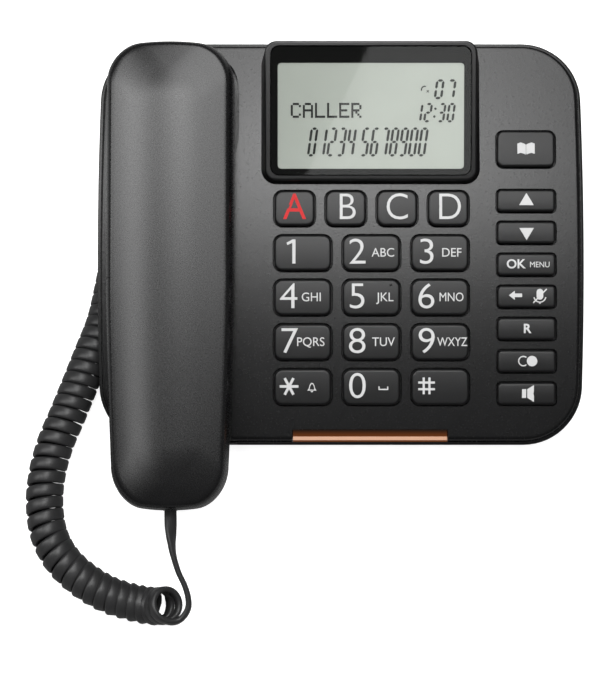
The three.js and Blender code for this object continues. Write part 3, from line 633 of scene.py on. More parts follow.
def make_cord():
    centres, flats = cable_frames()
    rings = sweep(centres, flats, cable_section())
    cord = make_object("handset_cord", *loft(rings, "flat", "flat"))
    smooth(cord, 60)
    cord.data.materials.append(cord_vinyl)
    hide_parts("cord_coil", "cord_lead_handset", "cord_lead_base")
    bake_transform(cord)


make_cord()


# ------------------------------------------------------------ base housings
def base_outline(inset, steps=14):
    half = right_half(
        BASE_HALF_WIDTH - inset, BASE_DEPTH / 2 - inset, max(BASE_CORNER - inset, 1), steps, 26,
    )
    bowed = []
    for x, y in half:
        share = y / (BASE_DEPTH / 2)
        trim = FRONT_TRIM * max(0.0, -share)
        bowed.append((x - BASE_SIDE_BOW * share * share, y + BASE_MIDDLE + trim))
    return mirrored(bowed)


def face_ring(inset, offset):
    """The base's outline, offset from the face's surface."""
    return [(x, y, face_height(y) + offset) for x, y in base_outline(inset)]


def flat_ring(inset, z):
    return [(x, y, z) for x, y in base_outline(inset)]


def well_tool(cup, well, extra):
    outline = soft_square(well["half_x"] + extra, well["half_y"] + extra, well["x"], cup["y"])
    floor = -cup["depth"] - WELL_CLEARANCE - extra
    return prism("well", outline, floor, 40, handset_matrix)


def wells(extra):
    return [well_tool(EAR, EAR_WELL, extra), well_tool(MOUTH, MOUTH_WELL, extra)]


DIGIT_ROWS = (("1", "2", "3"), ("4", "5", "6"), ("7", "8", "9"), ("star", "0", "hash"))
FUNCTION_NAMES = ("up", "down", "ok", "back", "recall", "redial", "speaker")
FUNCTION_X = 81.4
key_places = [                         # (name, slot, x, y)
    (name, DIGIT_SLOT, 13.4 + (column - 1) * 30.1, 8.7 - row * 19.25)
    for row, names in enumerate(DIGIT_ROWS) for column, name in enumerate(names)
]
key_places += [
    (name, LETTER_SLOT, 13.45 + (column - 1.5) * 22.5, 28.1) for column, name in enumerate("abcd")
]
key_places.append(("phonebook", BOOK_SLOT, FUNCTION_X, 54.1))
key_places += [
    (name, FUNCTION_SLOT, FUNCTION_X, 31.4 - row * 13.88)
    for row, name in enumerate(FUNCTION_NAMES)
]

def slot_tool():
    """All the key slots as one tool, each with a small chamfer at the face."""
    parts = []
    for _, (width, height, corner), x, y in key_places:
        place = face_matrix(x, y)
        levels = ((-8, 0), (-SLOT_CHAMFER, 0), (0.6, 0.6 + SLOT_CHAMFER))
        rings = []
        for z, grow in levels:
            outline = rounded(width / 2 + grow, height / 2 + grow, corner + grow)
            rings.append([tuple(place @ Vector((px, py, z))) for px, py in outline])
        parts.append(loft(rings, "flat", "flat"))
    return make_object("slots", *joined(parts))


def make_top_housing():
    rings = [face_ring(TOP_INSET + WALL, -WALL), face_ring(TOP_INSET + WALL, -RIM_DEPTH)]
    rings.append(face_ring(TOP_INSET, -RIM_DEPTH))
    edge = 1.5
    rings += [face_ring(TOP_INSET + i, -d) for i, d in quarter_round(edge)]
    rings.append(face_ring(TOP_INSET + edge + 0.3, 0))
    shell = make_object("top_housing_fine", *loft(rings))
    body_rings = [flat_ring(TOP_INSET + 0.01, 12.0), face_ring(TOP_INSET + 0.01, -1.6)]
    for wall in wells(WALL):
        inside = make_object("inside", *loft(body_rings))
        boolean(wall, inside, "INTERSECT")
        boolean(shell, wall, "UNION")
    for cavity in wells(0):
        boolean(shell, cavity, "DIFFERENCE")
    boolean(shell, block("hole", *HOOK_HOLE, 0, 60), "DIFFERENCE")
    boolean(shell, slot_tool(), "DIFFERENCE")
    left, right = BAR_MIDDLE - BAR_HALF_LENGTH - GAP, BAR_MIDDLE + BAR_HALF_LENGTH + GAP
    boolean(shell, block("notch", left, right, -80, NOTCH_REAR, NOTCH_FLOOR, 40), "DIFFERENCE")
    smooth(shell, 30)
    finish_piece(shell, "base", "housing", housing_plastic, "top_housing")


def taper_line(y):
    """Where the lower shell starts to narrow: just under the rim in front, low at the rear."""
    return TAPER_HEIGHT - 0.4 + max(0.0, TAPER_FRONT_RISE - 0.1 * (y - BASE_FRONT))


def make_bottom_housing():
    edge = 0.6
    rim = -LIP_DEPTH
    rings = [flat_ring(FLOOR_TAPER + 1.2, FLOOR_UNDERSIDE), flat_ring(FLOOR_TAPER + 0.3, 2.6)]
    rings += [flat_ring(FLOOR_TAPER - 0.3, 3.6)]
    rings.append([(x, y, taper_line(y)) for x, y in base_outline(0.15)])
    rings += [face_ring(i, rim - d) for i, d in quarter_round(edge, 4)]
    shell = make_object("bottom_housing_fine", *loft(rings))
    inner = [flat_ring(WALL + 3.2, FLOOR_UNDERSIDE + WALL), flat_ring(WALL, TAPER_HEIGHT)]
    ledge = -RIM_DEPTH - GAP
    inner += [face_ring(WALL, ledge), face_ring(TOP_INSET - GAP, ledge)]
    inner.append(flat_ring(TOP_INSET - GAP, 70))
    cavity = make_object("cavity", *loft(inner))
    wall = WALL * 0.6
    bay = (-BASE_HALF_WIDTH - 10, BAY_WALL, BAY_FRONT, BAY_REAR, -5, BAY_HEIGHT)
    kept = block("kept", bay[0], bay[1] + wall, bay[2] - wall, bay[3] + wall, -5, bay[5] + wall)
    boolean(cavity, kept, "DIFFERENCE")
    boolean(shell, cavity, "DIFFERENCE")
    boolean(shell, block("bay", *bay), "DIFFERENCE")
    for well in wells(WALL + GAP):
        boolean(shell, well, "DIFFERENCE")
    for row in range(-2, 3):
        y, half = SOUND_SLOTS["y"] + row * SOUND_SLOTS["pitch"], SOUND_SLOTS["half_width"]
        slot = block("slot", SOUND_SLOTS["left"], SOUND_SLOTS["right"], y - half, y + half, 0, 8)
        boolean(shell, slot, "DIFFERENCE")
    for x, y in SCREW_PLACES:
        for radius, top in ((SCREW_HOLE_RADIUS, 10), (SCREW_HEAD_RADIUS, FLOOR_UNDERSIDE + 1.2)):
            boolean(shell, prism("hole", disc(x, y, radius, 24), 0, top), "DIFFERENCE")
    boolean(shell, block("line", *LINE_OPENING), "DIFFERENCE")
    boolean(shell, block("plug", -99, -91, 57, 70, COIL_Z - 3, COIL_Z + 3), "DIFFERENCE")
    smooth(shell, 30)
    finish_piece(shell, "base", "housing", housing_plastic, "bottom_housing")


make_top_housing()
make_bottom_housing()


def smoked_guide_painted_glow():
    """Smoked plastic behind the bar, with the bar's light painted on it as an amber glow that dies
    away towards the rear.
    """
    material, nodes, links, surface = shader("smoked_guide_painted_glow")
    place = new_node(nodes, "TexCoord")
    split = new_node(nodes, "SeparateXYZ")
    links.new(place.outputs["Object"], split.inputs["Vector"])
    painted_glow_fade = new_node(nodes, "MapRange", {"From Min": BAR_REAR * MM, "From Max": NOTCH_REAR * MM})
    painted_glow_fade.interpolation_type = "SMOOTHSTEP"
    links.new(split.outputs["Y"], painted_glow_fade.inputs["Value"])
    # painted glow of the bar's light: strong amber at the bar, near black by the notch's rear
    ramp = new_node(nodes, "ValToRGB")
    ramp.color_ramp.elements[0].color = (0.115, 0.029, 0.005, 1)
    ramp.color_ramp.elements[1].color = (0.006, 0.003, 0.002, 1)
    links.new(painted_glow_fade.outputs["Result"], ramp.inputs["Fac"])
    links.new(ramp.outputs["Color"], surface.inputs["Emission Color"])
    set_inputs(surface, {
        "Emission Strength": 1.0, "Base Color": (0.01, 0.006, 0.004, 1),
        "Roughness": 0.35, "Specular IOR Level": 0.15,
    })
    return material


guide_plastic_painted_glow = smoked_guide_painted_glow()


def make_light_bar():
    """A lit bar along the front edge, and the light guide that slopes up behind it."""
    left, right = BAR_MIDDLE - BAR_HALF_LENGTH, BAR_MIDDLE + BAR_HALF_LENGTH
    lit = block("light_bar_fine", left, right, BAR_FRONT, BAR_REAR, BAR_BOTTOM, BAR_TOP)
    finish_piece(lit, "base", "light_bar", bar_plastic, "light_bar")
    rear = NOTCH_REAR - 0.05
    guides = {
        "light_guide_rear": [
            (BAR_REAR, BAR_BOTTOM), (BAR_REAR, BAR_TOP), (rear, face_height(rear) - 0.1),
            (rear, BAR_BOTTOM),
        ],
        "light_guide_front": [
            (GUIDE_FRONT, BAR_BOTTOM), (GUIDE_FRONT, BAR_TOP - 0.3), (GUIDE_FRONT + 0.3, BAR_TOP),
            (BAR_FRONT, BAR_TOP), (BAR_FRONT, BAR_BOTTOM),
        ],
    }
    # both guides carry the painted glow of the bar's light; the front one lies before the fade and
    # glows at full strength
    for name, side in guides.items():
        rings = [[(x, y, z) for y, z in side] for x in (left, right)]
        guide = make_object(name, *loft(rings, "flat", "flat"))
        finish_piece(guide, "base", "light_bar", guide_plastic_painted_glow)


make_light_bar()


# -------------------------------------------------------------------- keys
def make_key(name, slot, x, y):
    width, height, corner = slot
    half_x, half_y, corner = width / 2 - KEY_GAP, height / 2 - KEY_GAP, corner - KEY_GAP
    levels = [(0, KEY_BOTTOM), (0, FLANGE_BOTTOM), (-FLANGE_WIDTH, FLANGE_BOTTOM)]
    levels += [(-FLANGE_WIDTH, FLANGE_TOP), (0, FLANGE_TOP), (0, -0.5)]
    levels += [(i, KEY_RISE - d) for i, d in quarter_round(KEY_EDGE)]
    levels.append((KEY_EDGE + 0.3, KEY_RISE))
    rings = []
    for inset, z in levels:
        outline = mirrored(right_half(half_x - inset, half_y - inset, corner - inset, 6, 8))
        fall = KEY_CROWN if z > 0 else 0
        rings.append([(px, py, z - fall * (py / half_y) ** 2) for px, py in outline])
    key = make_object(f"key_{name}_cap", *loft(rings, "flat", "strips"), face_matrix(x, y))
    smooth(key, 30)
    finish_piece(key, f"key_{name}", "key", key_plastic, f"key_{name}")


for place in key_places:
    make_key(*place)


def make_nub():
    """The raised point that fingers find on the five key."""
    x, y = next(place[2:] for place in key_places if place[0] == "5")
    rings = []
    for inset, drop in quarter_round(NUB_EDGE, 4):
        circle = disc(0, 0, NUB_RADIUS - inset, 24)
        top = KEY_RISE + NUB_RISE - drop
        rings.append([(px + NUB_X, py * 0.7 + NUB_Y, top) for px, py in circle])
    nub = make_object("key_5_nub", *loft(rings, "flat", "flat"), face_matrix(x, y))
    smooth(nub, 60)
    finish_piece(nub, "key_5", "key", print_black)


make_nub()


# ----------------------------------------------------------------- display
def display_ring(grow, height_of, grow_y=None):
    outline = rounded(
        DISPLAY_HALF_WIDTH + grow,
        (DISPLAY_REAR - DISPLAY_FRONT) / 2 + (grow if grow_y is None else grow_y),
        DISPLAY_CORNER + grow, 8,
    )
    middle = (DISPLAY_FRONT + DISPLAY_REAR) / 2
    points = [(x + DISPLAY_MIDDLE, y + middle) for x, y in outline]
    return [(x, y, height_of(y)) for x, y in points]


def display_height(y, drop=0.0):
    return display_front_z + (y - DISPLAY_FRONT) * display_slope - drop


def display_prism(name, width, height, corner, shift, bottom, top):
    outline = [(x, y + shift) for x, y in rounded(width / 2, height / 2, corner)]
    return prism(name, outline, bottom, top, display_matrix)


def make_display_housing():
    edge = 0.9
    rings = [display_ring(DISPLAY_DRAFT, face_height, 0.2)]
    for inset, drop in quarter_round(edge):
        rings.append(display_ring(-inset, lambda y, d=drop: display_height(y, d)))
    rings.append(display_ring(-edge - 0.2, display_height))
    shell = make_object("display_housing_fine", *loft(rings))
    boolean(shell, display_prism(
        "recess", WINDOW_WIDTH + 2 * GAP, WINDOW_HEIGHT + 2 * GAP, WINDOW_CORNER + GAP,
        0, -WINDOW_THICKNESS - 0.2, 5,
    ), "DIFFERENCE")
    boolean(shell, display_prism("opening", 84, 49.4, 0.8, LCD_SHIFT, -4.6, 0), "DIFFERENCE")
    smooth(shell, 30)
    finish_piece(shell, "base", "display_frame", frame_plastic, "display_housing")


def make_window():
    levels = [(0.3, -WINDOW_THICKNESS), (0, -WINDOW_THICKNESS + 0.3), (0, -0.3), (0.3, 0)]
    rings = []
    for inset, z in levels:
        outline = rounded(WINDOW_WIDTH / 2 - inset, WINDOW_HEIGHT / 2 - inset,
                          WINDOW_CORNER - inset)
        rings.append([(x, y, z) for x, y in outline])
    window = make_object("display_window_fine", *loft(rings, "flat", "flat"), display_matrix)
    finish_piece(window, "base", "window", acrylic, "display_window")
    border = display_prism("window_border", WINDOW_WIDTH, WINDOW_HEIGHT, WINDOW_CORNER,
                           0, -1.52, -1.44)
    opening = display_prism("opening", VIEW_WIDTH, VIEW_HEIGHT, 1.6, LCD_SHIFT, -3, 0)
    boolean(border, opening, "DIFFERENCE")
    finish_piece(border, "base", "window", print_black)


make_display_housing()
make_window()


# ----------------------------------------------------------------- legends
INK_THICKNESS = 0.12
cap_heights = {}                       # the font's lowest and highest line for each boldness


def curve_parts(curve):
    """The filled mesh of a flat curve or text, as verts and faces."""
    obj = link(bpy.data.objects.new("ink", curve))
    graph = bpy.context.evaluated_depsgraph_get()
    mesh = bpy.data.meshes.new_from_object(obj.evaluated_get(graph))
    verts = [tuple(v.co) for v in mesh.vertices]
    faces = [tuple(p.vertices) for p in mesh.polygons]
    bpy.data.objects.remove(obj)
    bpy.data.meshes.remove(mesh)
    return verts, faces


def text_part(body, bold):
    """Letters one unit high, before they are placed."""
    curve = bpy.data.curves.new("letters", "FONT")
    curve.body = body
    curve.resolution_u = 5
    curve.offset = bold
    curve.extrude = 0.005
    return curve_parts(curve)


def letters(body, height, x, y, bold=0.0, stretch=1.0):
    """Upright letters of a cap height, with their middle at x, y."""
    if bold not in cap_heights:
        ys = [v[1] for v in text_part("H", bold)[0]]
        cap_heights[bold] = (min(ys), max(ys))
    low, high = cap_heights[bold]
    verts, faces = text_part(body, bold)
    scale = height / (high - low)
    xs = [v[0] for v in verts]
    middle = (min(xs) + max(xs)) / 2
    placed = []
    for vx, vy, vz in verts:
        level = INK_THICKNESS if vz > 0 else 0
        placed.append((x + (vx - middle) * scale * stretch, y + (vy - low) * scale - height / 2,
                       level))
    return placed, faces


def shape(*loops):
    """A filled flat shape; loops inside the first one are holes."""
    curve = bpy.data.curves.new("shape", "CURVE")
    curve.dimensions = "2D"
    curve.fill_mode = "BOTH"
    curve.extrude = 0.005
    for loop in loops:
        spline = curve.splines.new("POLY")
        spline.points.add(len(loop) - 1)
        for point, (x, y) in zip(spline.points, loop):
            point.co = (x, y, 0, 1)
        spline.use_cyclic_u = True
    verts, faces = curve_parts(curve)
    return [(x, y, INK_THICKNESS if z > 0 else 0) for x, y, z in verts], faces


def bar(x0, y0, x1, y1, width):
    """A straight stroke."""
    length = math.hypot(x1 - x0, y1 - y0)
    nx, ny = (y0 - y1) / length * width / 2, (x1 - x0) / length * width / 2
    return shape([(x0 + nx, y0 + ny), (x0 - nx, y0 - ny), (x1 - nx, y1 - ny), (x1 + nx, y1 + ny)])


def band(x, y, radius, width, start, end, steps=16):
    """A curved stroke along an arc."""
    outer = arc(x, y, radius + width / 2, start, end, steps)
    return shape(outer + arc(x, y, radius - width / 2, end, start, steps))


def one_digit():
    """The figure one with its flag, which the font's plain stroke lacks."""
    return [shape([(-3.2, 5.9), (-4.4, 5.9), (-7.1, 4.5), (-6.8, 3.4), (-4.6, 4.4), (-4.6, -4.7),
                   (-3.2, -4.7)])]


def star_symbol():
    reach, middle, width = 4.1, -6.0, 1.15
    strokes = []
    for angle in (0, 62, 118):
        dx, dy = reach * math.cos(math.radians(angle)), reach * math.sin(math.radians(angle))
        strokes.append(bar(middle - dx, 0.3 - dy, middle + dx, 0.3 + dy, width))
    bell = [(2.0, -1.5), (2.6, -0.6), (2.9, 0.6), (3.4, 1.6), (4.0, 1.9), (4.6, 1.6),
            (5.1, 0.6), (5.4, -0.6), (6.0, -1.5)]
    inner = [(2.9, -1.1), (3.25, 0.5), (3.6, 1.2), (4.0, 1.4), (4.4, 1.2), (4.75, 0.5),
             (5.1, -1.1)]
    clapper = arc(4.0, -1.7, 0.55, 180, 360, 8)
    return strokes + [shape(bell, inner), shape(clapper)]


def hash_symbol():
    strokes = [bar(-9.7, y, -2.4, y, 0.95) for y in (-0.9, 2.0)]
    return strokes + [bar(x, -3.1, x, 4.2, 0.95) for x in (-7.3, -4.8)]


def space_symbol():
    return [bar(3.0, -1.0, 7.3, -1.0, 0.5), bar(3.25, -1.2, 3.25, 0.3, 0.5),
            bar(7.05, -1.2, 7.05, 0.3, 0.5)]


def book_symbol():
    left = [(-3.8, 2.3), (-2.4, 2.8), (-0.9, 2.3), (-0.25, 1.9), (-0.25, -2.7), (-0.9, -2.2),
            (-2.4, -1.8), (-3.8, -2.3)]
    right = [(-x, y) for x, y in reversed(left)]
    return [shape(left), shape(right), bar(0, 1.9, 0, -2.2, 0.35)]


def mute_symbol():
    x = 5.7
    capsule = arc(x, 2.0, 1.45, 0, 180, 12) + arc(x, 0.1, 1.45, 180, 360, 12)
    return [shape(capsule), band(x, 0.2, 2.6, 0.5, 190, 350), bar(x, -2.4, x, -3.2, 0.6),
            bar(x - 2.9, -2.7, x + 3.0, 3.4, 0.55)]


def arrow_symbol():
    tip = -7.9
    return [shape([(tip, 0.6), (tip + 2.6, 2.6), (tip + 2.6, 1.4), (tip + 5.8, 1.4),
                   (tip + 5.8, -0.2), (tip + 2.6, -0.2), (tip + 2.6, -1.4)])]


def redial_symbol():
    return [band(-1.6, 0.1, 2.05, 0.5, 50, 310, 30), shape(disc(2.2, 0.1, 2.3))]


def speaker_symbol():
    return [shape([(-2.2, 2.0), (-0.4, 2.0), (-0.4, -1.8), (-2.2, -1.8)]),
            shape([(0.1, 2.0), (3.0, 3.8), (3.0, -3.6), (0.1, -1.8)])]


DIGIT_X = {"1": -5.2, "2": -6.2, "3": -5.9, "4": -6.2, "5": -6.3, "6": -6.1, "7": -5.7,
           "8": -6.3, "9": -6.0, "0": -6.2}
SMALL_TEXT = {"2": ("ABC", 5.0), "3": ("DEF", 5.1), "4": ("GHI", 3.7), "5": ("JKL", 5.8),
              "6": ("MNO", 4.9), "7": ("PQRS", 3.5), "8": ("TUV", 5.2), "9": ("WXYZ", 5.2)}
SMALL_STRETCH = {"6": 0.84, "9": 0.8, "7": 0.95}
LIGHT_STROKE = -0.009                  # thins the font's strokes
SYMBOLS = {
    "star": star_symbol, "hash": hash_symbol, "phonebook": book_symbol,
    "redial": redial_symbol, "speaker": speaker_symbol,
}


def key_legend(name):
    """The parts of one key's legend, in the key's own frame."""
    if name in DIGIT_X:
        parts = one_digit() if name == "1" else [
            letters(name, 10.8, DIGIT_X[name], 0.7, LIGHT_STROKE, 1.06)]
        if name in SMALL_TEXT:
            text, x = SMALL_TEXT[name]
            parts.append(letters(text, 3.75, x, 0.2, 0, SMALL_STRETCH.get(name, 0.95)))
        return parts + (space_symbol() if name == "0" else [])
    if name in "abcd":
        bold = 0 if name == "a" else LIGHT_STROKE
        return [letters(name.upper(), 11.2, {"b": 0.8, "d": 0.7}.get(name, 0.0), 0.8, bold, 0.92)]
    if name in ("up", "down"):
        way = 1 if name == "up" else -1
        return [shape([(-3.2, -2.0 * way), (3.2, -2.0 * way), (0, 3.4 * way)])]
    if name == "ok":
        return [letters("OK", 4.0, -4.6, 0.3, 0.02), letters("MENU", 2.4, 5.7, 0, 0, 0.92)]
    if name == "back":
        return arrow_symbol() + mute_symbol()
    if name == "recall":
        return [letters("R", 4.1, 0.3, 0.2, 0.025)]
    return SYMBOLS[name]()


def make_legend(name, x, y, height):
    """One key's print, which follows the crown of its cap."""
    lift = Matrix.Translation((0, 0, KEY_RISE - 0.02))
    flat, faces = joined(key_legend(name))
    verts = [(vx, vy, vz - KEY_CROWN * (2 * vy / height) ** 2) for vx, vy, vz in flat]
    legend = make_object(f"key_{name}_legend", verts, faces, face_matrix(x, y) @ lift)
    red = name == "a"
    finish_piece(legend, f"key_{name}", "legend_red" if red else "legend_white",
                 paint_red if red else paint_white)


for name, slot, x, y in key_places:
    make_legend(name, x, y, slot[1])


# ------------------------------------------------------------- LCD contents
SEGMENTS = {"0": "abcdef", "1": "bc", "2": "abged", "3": "abgcd", "4": "fgbc", "5": "afgcd",
            "6": "afgedc", "7": "abc", "8": "abcdefg", "9": "abcdfg"}
LCD_SLANT = math.tan(math.radians(8))
DOTS = {
    "C": ("01110", "10001", "10000", "10000", "10000", "10001", "01110"),
    "A": ("01110", "10001", "10001", "11111", "10001", "10001", "10001"),
    "L": ("10000", "10000", "10000", "10000", "10000", "10000", "11111"),
    "E": ("11111", "10000", "10000", "11110", "10000", "10000", "11111"),
    "R": ("11110", "10001", "10001", "11110", "10100", "10010", "10001"),
}


DOT_SIZE = 0.52                        # half a dot's width, over the dots' pitch
INK_LOW, INK_HIGH = 0.02, 0.1


def segment(x0, y0, x1, y1, width):
    """One liquid crystal segment with pointed ends."""
    length = math.hypot(x1 - x0, y1 - y0)
    ux, uy = (x1 - x0) / length, (y1 - y0) / length
    half = width / 2
    points = [
        (x0, y0), (x0 + (ux - uy) * half, y0 + (uy + ux) * half),
        (x1 - (ux + uy) * half, y1 + (ux - uy) * half), (x1, y1),
        (x1 - (ux - uy) * half, y1 - (uy + ux) * half),
        (x0 + (ux + uy) * half, y0 - (ux - uy) * half),
    ]
    return [(x + y * LCD_SLANT, y) for x, y in points]


def seven_segment(text, height, pitch, width, stroke, x, y):
    """A row of slanted digits, centred on x, y; a colon takes a narrow place."""
    gap = stroke * 0.22
    loops = []
    steps = [pitch * (0.45 if c in ": " else 1.0) for c in text]
    start = -(sum(steps) - (pitch - width)) / 2
    low, middle, high = -height / 2 + stroke / 2, 0.0, height / 2 - stroke / 2
    for char, step in zip(text, steps):
        left, right = start + stroke / 2, start + width - stroke / 2
        ends = {
            "a": (left, high, right, high), "g": (left, middle, right, middle),
            "d": (left, low, right, low), "f": (left, middle, left, high),
            "b": (right, middle, right, high), "e": (left, low, left, middle),
            "c": (right, low, right, middle),
        }
        for letter in SEGMENTS.get(char, ""):
            x0, y0, x1, y1 = ends[letter]
            dx, dy = (gap, 0) if y0 == y1 else (0, gap)
            loops.append(segment(x0 + dx, y0 + dy, x1 - dx, y1 - dy, stroke))
        if char == ":":
            for dy in (-height * 0.2, height * 0.2):
                loops.append(disc(start + step * 0.3 + dy * LCD_SLANT, dy, stroke * 0.55, 10))
        start += step
    return [[(px + x, py + y) for px, py in loop] for loop in loops]


def dot_word(text, height, pitch, x, y):
    """A word in a five by seven dot matrix."""
    rise, across = height / 7, pitch / 6
    loops = []
    start = x - (len(text) * pitch - across) / 2
    for place, char in enumerate(text):
        for row, bits in enumerate(DOTS[char]):
            for column, bit in enumerate(bits):
                if bit == "1":
                    cx = start + place * pitch + (column + 0.5) * across
                    cy = y + height / 2 - (row + 0.5) * rise
                    w, h = across * DOT_SIZE, rise * DOT_SIZE
                    loops.append([(cx - w, cy - h), (cx + w, cy - h), (cx + w, cy + h),
                                  (cx - w, cy + h)])
    return loops


def make_lcd_contents():
    loops = dot_word("CALLER", 6.5, 5.3, -19.6, 2.4)
    loops += seven_segment("01234 5678900", 12.7, 4.22, 3.5, 1.08, -1.3, -11.4)
    loops += seven_segment("12:30", 8.5, 4.1, 3.3, 1.0, 28.0, 1.4)
    loops += seven_segment("07", 8.7, 5.2, 3.8, 1.08, 32.5, 11.6)
    rings = [[[(x, y, z) for x, y in loop] for z in (INK_LOW, INK_HIGH)] for loop in loops]
    place = display_matrix @ Matrix.Translation((0, LCD_SHIFT, -LCD_DROP))
    ink = make_object("lcd_contents", *joined(loft(r, "flat", "flat") for r in rings), place)
    finish_piece(ink, "base", "lcd_ink", lcd_ink)
    hook = [band(23.6, 11.4, 1.5, 0.55, 70, 200, 10), bar(24.4, 10.2, 25.4, 11.2, 0.3),
            bar(24.4, 11.2, 25.4, 10.2, 0.3)]
    icon = make_object("lcd_icon", *joined(hook), place)
    finish_piece(icon, "base", "lcd_ink", lcd_ink)


make_lcd_contents()


# ----------------------------------------------------------------- handset
def handset_outline(inset):
    half_x, half_y = HANDSET_HALF_WIDTH - inset, HANDSET_HALF_LENGTH - inset
    corner = min(HANDSET_CORNER, half_x * 0.98)
    half = right_half(half_x, half_y, corner, 12, 30, 6)
    points = []
    for x, y in half:
        to_mouth = max(0.0, -y - 10) / (HANDSET_HALF_LENGTH - 10)
        to_ear = max(0.0, y - 10) / (HANDSET_HALF_LENGTH - 10)
        bow = HANDSET_END_BOW * (x / HANDSET_HALF_WIDTH) ** 2
        points.append((
            x * (1 - HANDSET_TAPER * to_mouth ** 1.4),
            y - math.copysign(bow, y) - MOUTH_REACH * to_mouth - EAR_SHORTFALL * to_ear,
        ))
    return mirrored(points)


def handset_rings(levels):
    return [[(x, y, z) for x, y in handset_outline(inset)] for inset, z in levels]


CROWN_EDGE, CROWN_EDGE_Z = 3.2, 13.3


def crown_levels(steps, lift):
    """The crown from its edge to the middle, as (inset, z)."""
    span = HANDSET_HALF_WIDTH - 0.3 - CROWN_EDGE
    levels = []
    for i in range(steps + 1):
        u = i / steps
        rise = (HANDSET_CROWN - CROWN_EDGE_Z) * (1 - (1 - u) ** 2)
        levels.append((CROWN_EDGE + span * u, CROWN_EDGE_Z + rise + lift))
    return levels


def make_back_shell():
    side = [(0, 0.15), (0.1, 3), (0.35, 6.5), (0.8, 9.4), (1.3, 11.2), (1.8, 12.2), (2.4, 12.9)]
    inner = [(inset + WALL, z) for inset, z in side[:4]]
    levels = list(reversed(crown_levels(16, -WALL)[2:])) + inner[::-1] + side
    levels += crown_levels(20, 0)
    shell = make_object("handset_back_fine", *loft(handset_rings(levels)), handset_matrix)
    smooth(shell, 40)
    finish_piece(shell, "handset", "housing", handset_plastic, "handset_back_shell")


def cup_tool(cup, inset):
    rings = []
    levels = [(0, -6), (0, -cup["depth"] + 3.5)]
    levels += [(i, -cup["depth"] + d) for i, d in quarter_round(3.4, 5)]
    levels.append((7, -cup["depth"] + 0.5))
    for grow, z in levels:
        outline = soft_square(cup["half_x"] - inset - grow, cup["half_y"] - inset - grow,
                              0, cup["y"])
        rings.append([(x, y, max(z, z + inset)) for x, y in outline])
    return make_object("cup", *loft(rings, "flat", "flat"), handset_matrix)


def make_front_shell():
    grip = [(0, -0.15), (0, -5), (0.3, -7.4), (1.2, -9.6), (2.8, -11.2), (5, -12), (7, -12.2)]
    shell = make_object("handset_front_fine", *loft(handset_rings(grip)), handset_matrix)
    for cup in (EAR, MOUTH):
        boolean(shell, cup_tool(cup, 0), "UNION")
    smooth(shell, 30)
    finish_piece(shell, "handset", "housing", handset_plastic, "handset_front_shell")


make_back_shell()
make_front_shell()

# ------------------------------------------------------ carried-over pieces
for names, material in (
    (("base_handset_jack", "handset_jack", "handset_plug", "line_jack", "hook_plunger",
      "hook_switch"),
     jack_plastic),
    (("base_plug",), plug_plastic),
    (("main_board", "keypad_board"), board_laminate),
    (("keypad_mat",), mat_silicone),
    (("lcd_panel",), lcd_film),
    (("loudspeaker", "base_microphone", "earpiece_capsule", "microphone_capsule"),
     capsule_metal),
    (("handset_ballast", "handset_screw_1", "handset_screw_2", "base_screw_1", "base_screw_2",
      "base_screw_3", "base_screw_4"), zinc_steel),
    (("foot_1", "foot_2", "foot_3", "foot_4"), foot_rubber),
):
    for name in names:
        node = frame["nodes"][name]
        node.data.materials.clear()
        node.data.materials.append(material)


# --------------------------------------------------------- floor and camera
def floor_paint():
    """White as seen, but dimmer to the object's sides, as a small studio sweep is."""
    material = glowing("floor_white", (0.5, 0.5, 0.5), (1.0, 1.0, 1.0), 0.9)
    nodes, links = material.node_tree.nodes, material.node_tree.links
    dim = new_node(nodes, "BsdfDiffuse", {"Color": (0.22, 0.22, 0.22, 1)})
    path = new_node(nodes, "LightPath")
    mix = new_node(nodes, "MixShader")
    links.new(path.outputs["Is Camera Ray"], mix.inputs["Fac"])
    links.new(dim.outputs["BSDF"], mix.inputs[1])
    links.new(nodes["Principled BSDF"].outputs["BSDF"], mix.inputs[2])
    links.new(mix.outputs["Shader"], nodes["Material Output"].inputs["Surface"])
    return material


def make_floor():
    mesh = bpy.data.meshes.new("floor")
    reach = 4.0
    mesh.from_pydata(
        [(-reach, -reach, 0), (reach, -reach, 0), (reach, reach, 0), (-reach, reach, 0)],
        [], [(0, 1, 2, 3)],
    )
    floor = link(bpy.data.objects.new("floor", mesh))
    mesh.materials.append(floor_paint())


def area_light(name, place, target, size, power):
    light = bpy.data.lights.new(name, "AREA")
    light.shape = "RECTANGLE"
    light.size, light.size_y = size
    light.energy = power
    obj = link(bpy.data.objects.new(name, light))
    obj.location = place
    obj.rotation_euler = (Vector(target) - Vector(place)).to_track_quat("-Z", "Y").to_euler()
    return obj


def shine_only_on(name, *receivers):
    """Limits a lamp to the named pieces."""
    lit = bpy.data.collections.new("lit_by_" + name)
    for receiver in receivers:
        lit.objects.link(bpy.data.objects[receiver])
    bpy.data.objects[name].light_linking.receiver_collection = lit


def keep_off_window(*names):
    """Keeps the overhead lamps out of the window's mirror image."""
    dark = bpy.data.collections.new("kept_off_window")
    for name in ("display_window_fine", "window_border"):
        dark.objects.link(bpy.data.objects[name])
    dark.objects.link(frame["nodes"]["lcd_panel"])
    for member in dark.collection_objects:
        member.light_linking.link_state = "EXCLUDE"
    for name in names:
        bpy.data.objects[name].light_linking.receiver_collection = dark


GLARE_EDGE = ((-1.2, 27.5), (-28.5, -28.5))   # across the window, in its own frame
GLARE_HEIGHT_M = 1.5
GLARE_SIZE_M = (0.9, 1.3)
GLARE_RADIANCE = 1.0


def mirrored_point(x, y):
    """Where the camera sees a lamp's edge lie, through a point of the window."""
    normal = (display_matrix.to_3x3() @ Vector((0, 0, 1))).normalized()
    point = (display_matrix @ Vector((x, y, 0))) * MM
    eye = camera_place() * MM
    image = eye - 2 * (eye - point).dot(normal) * normal
    ray = point - image
    return image + ray * ((GLARE_HEIGHT_M - image.z) / ray.z)


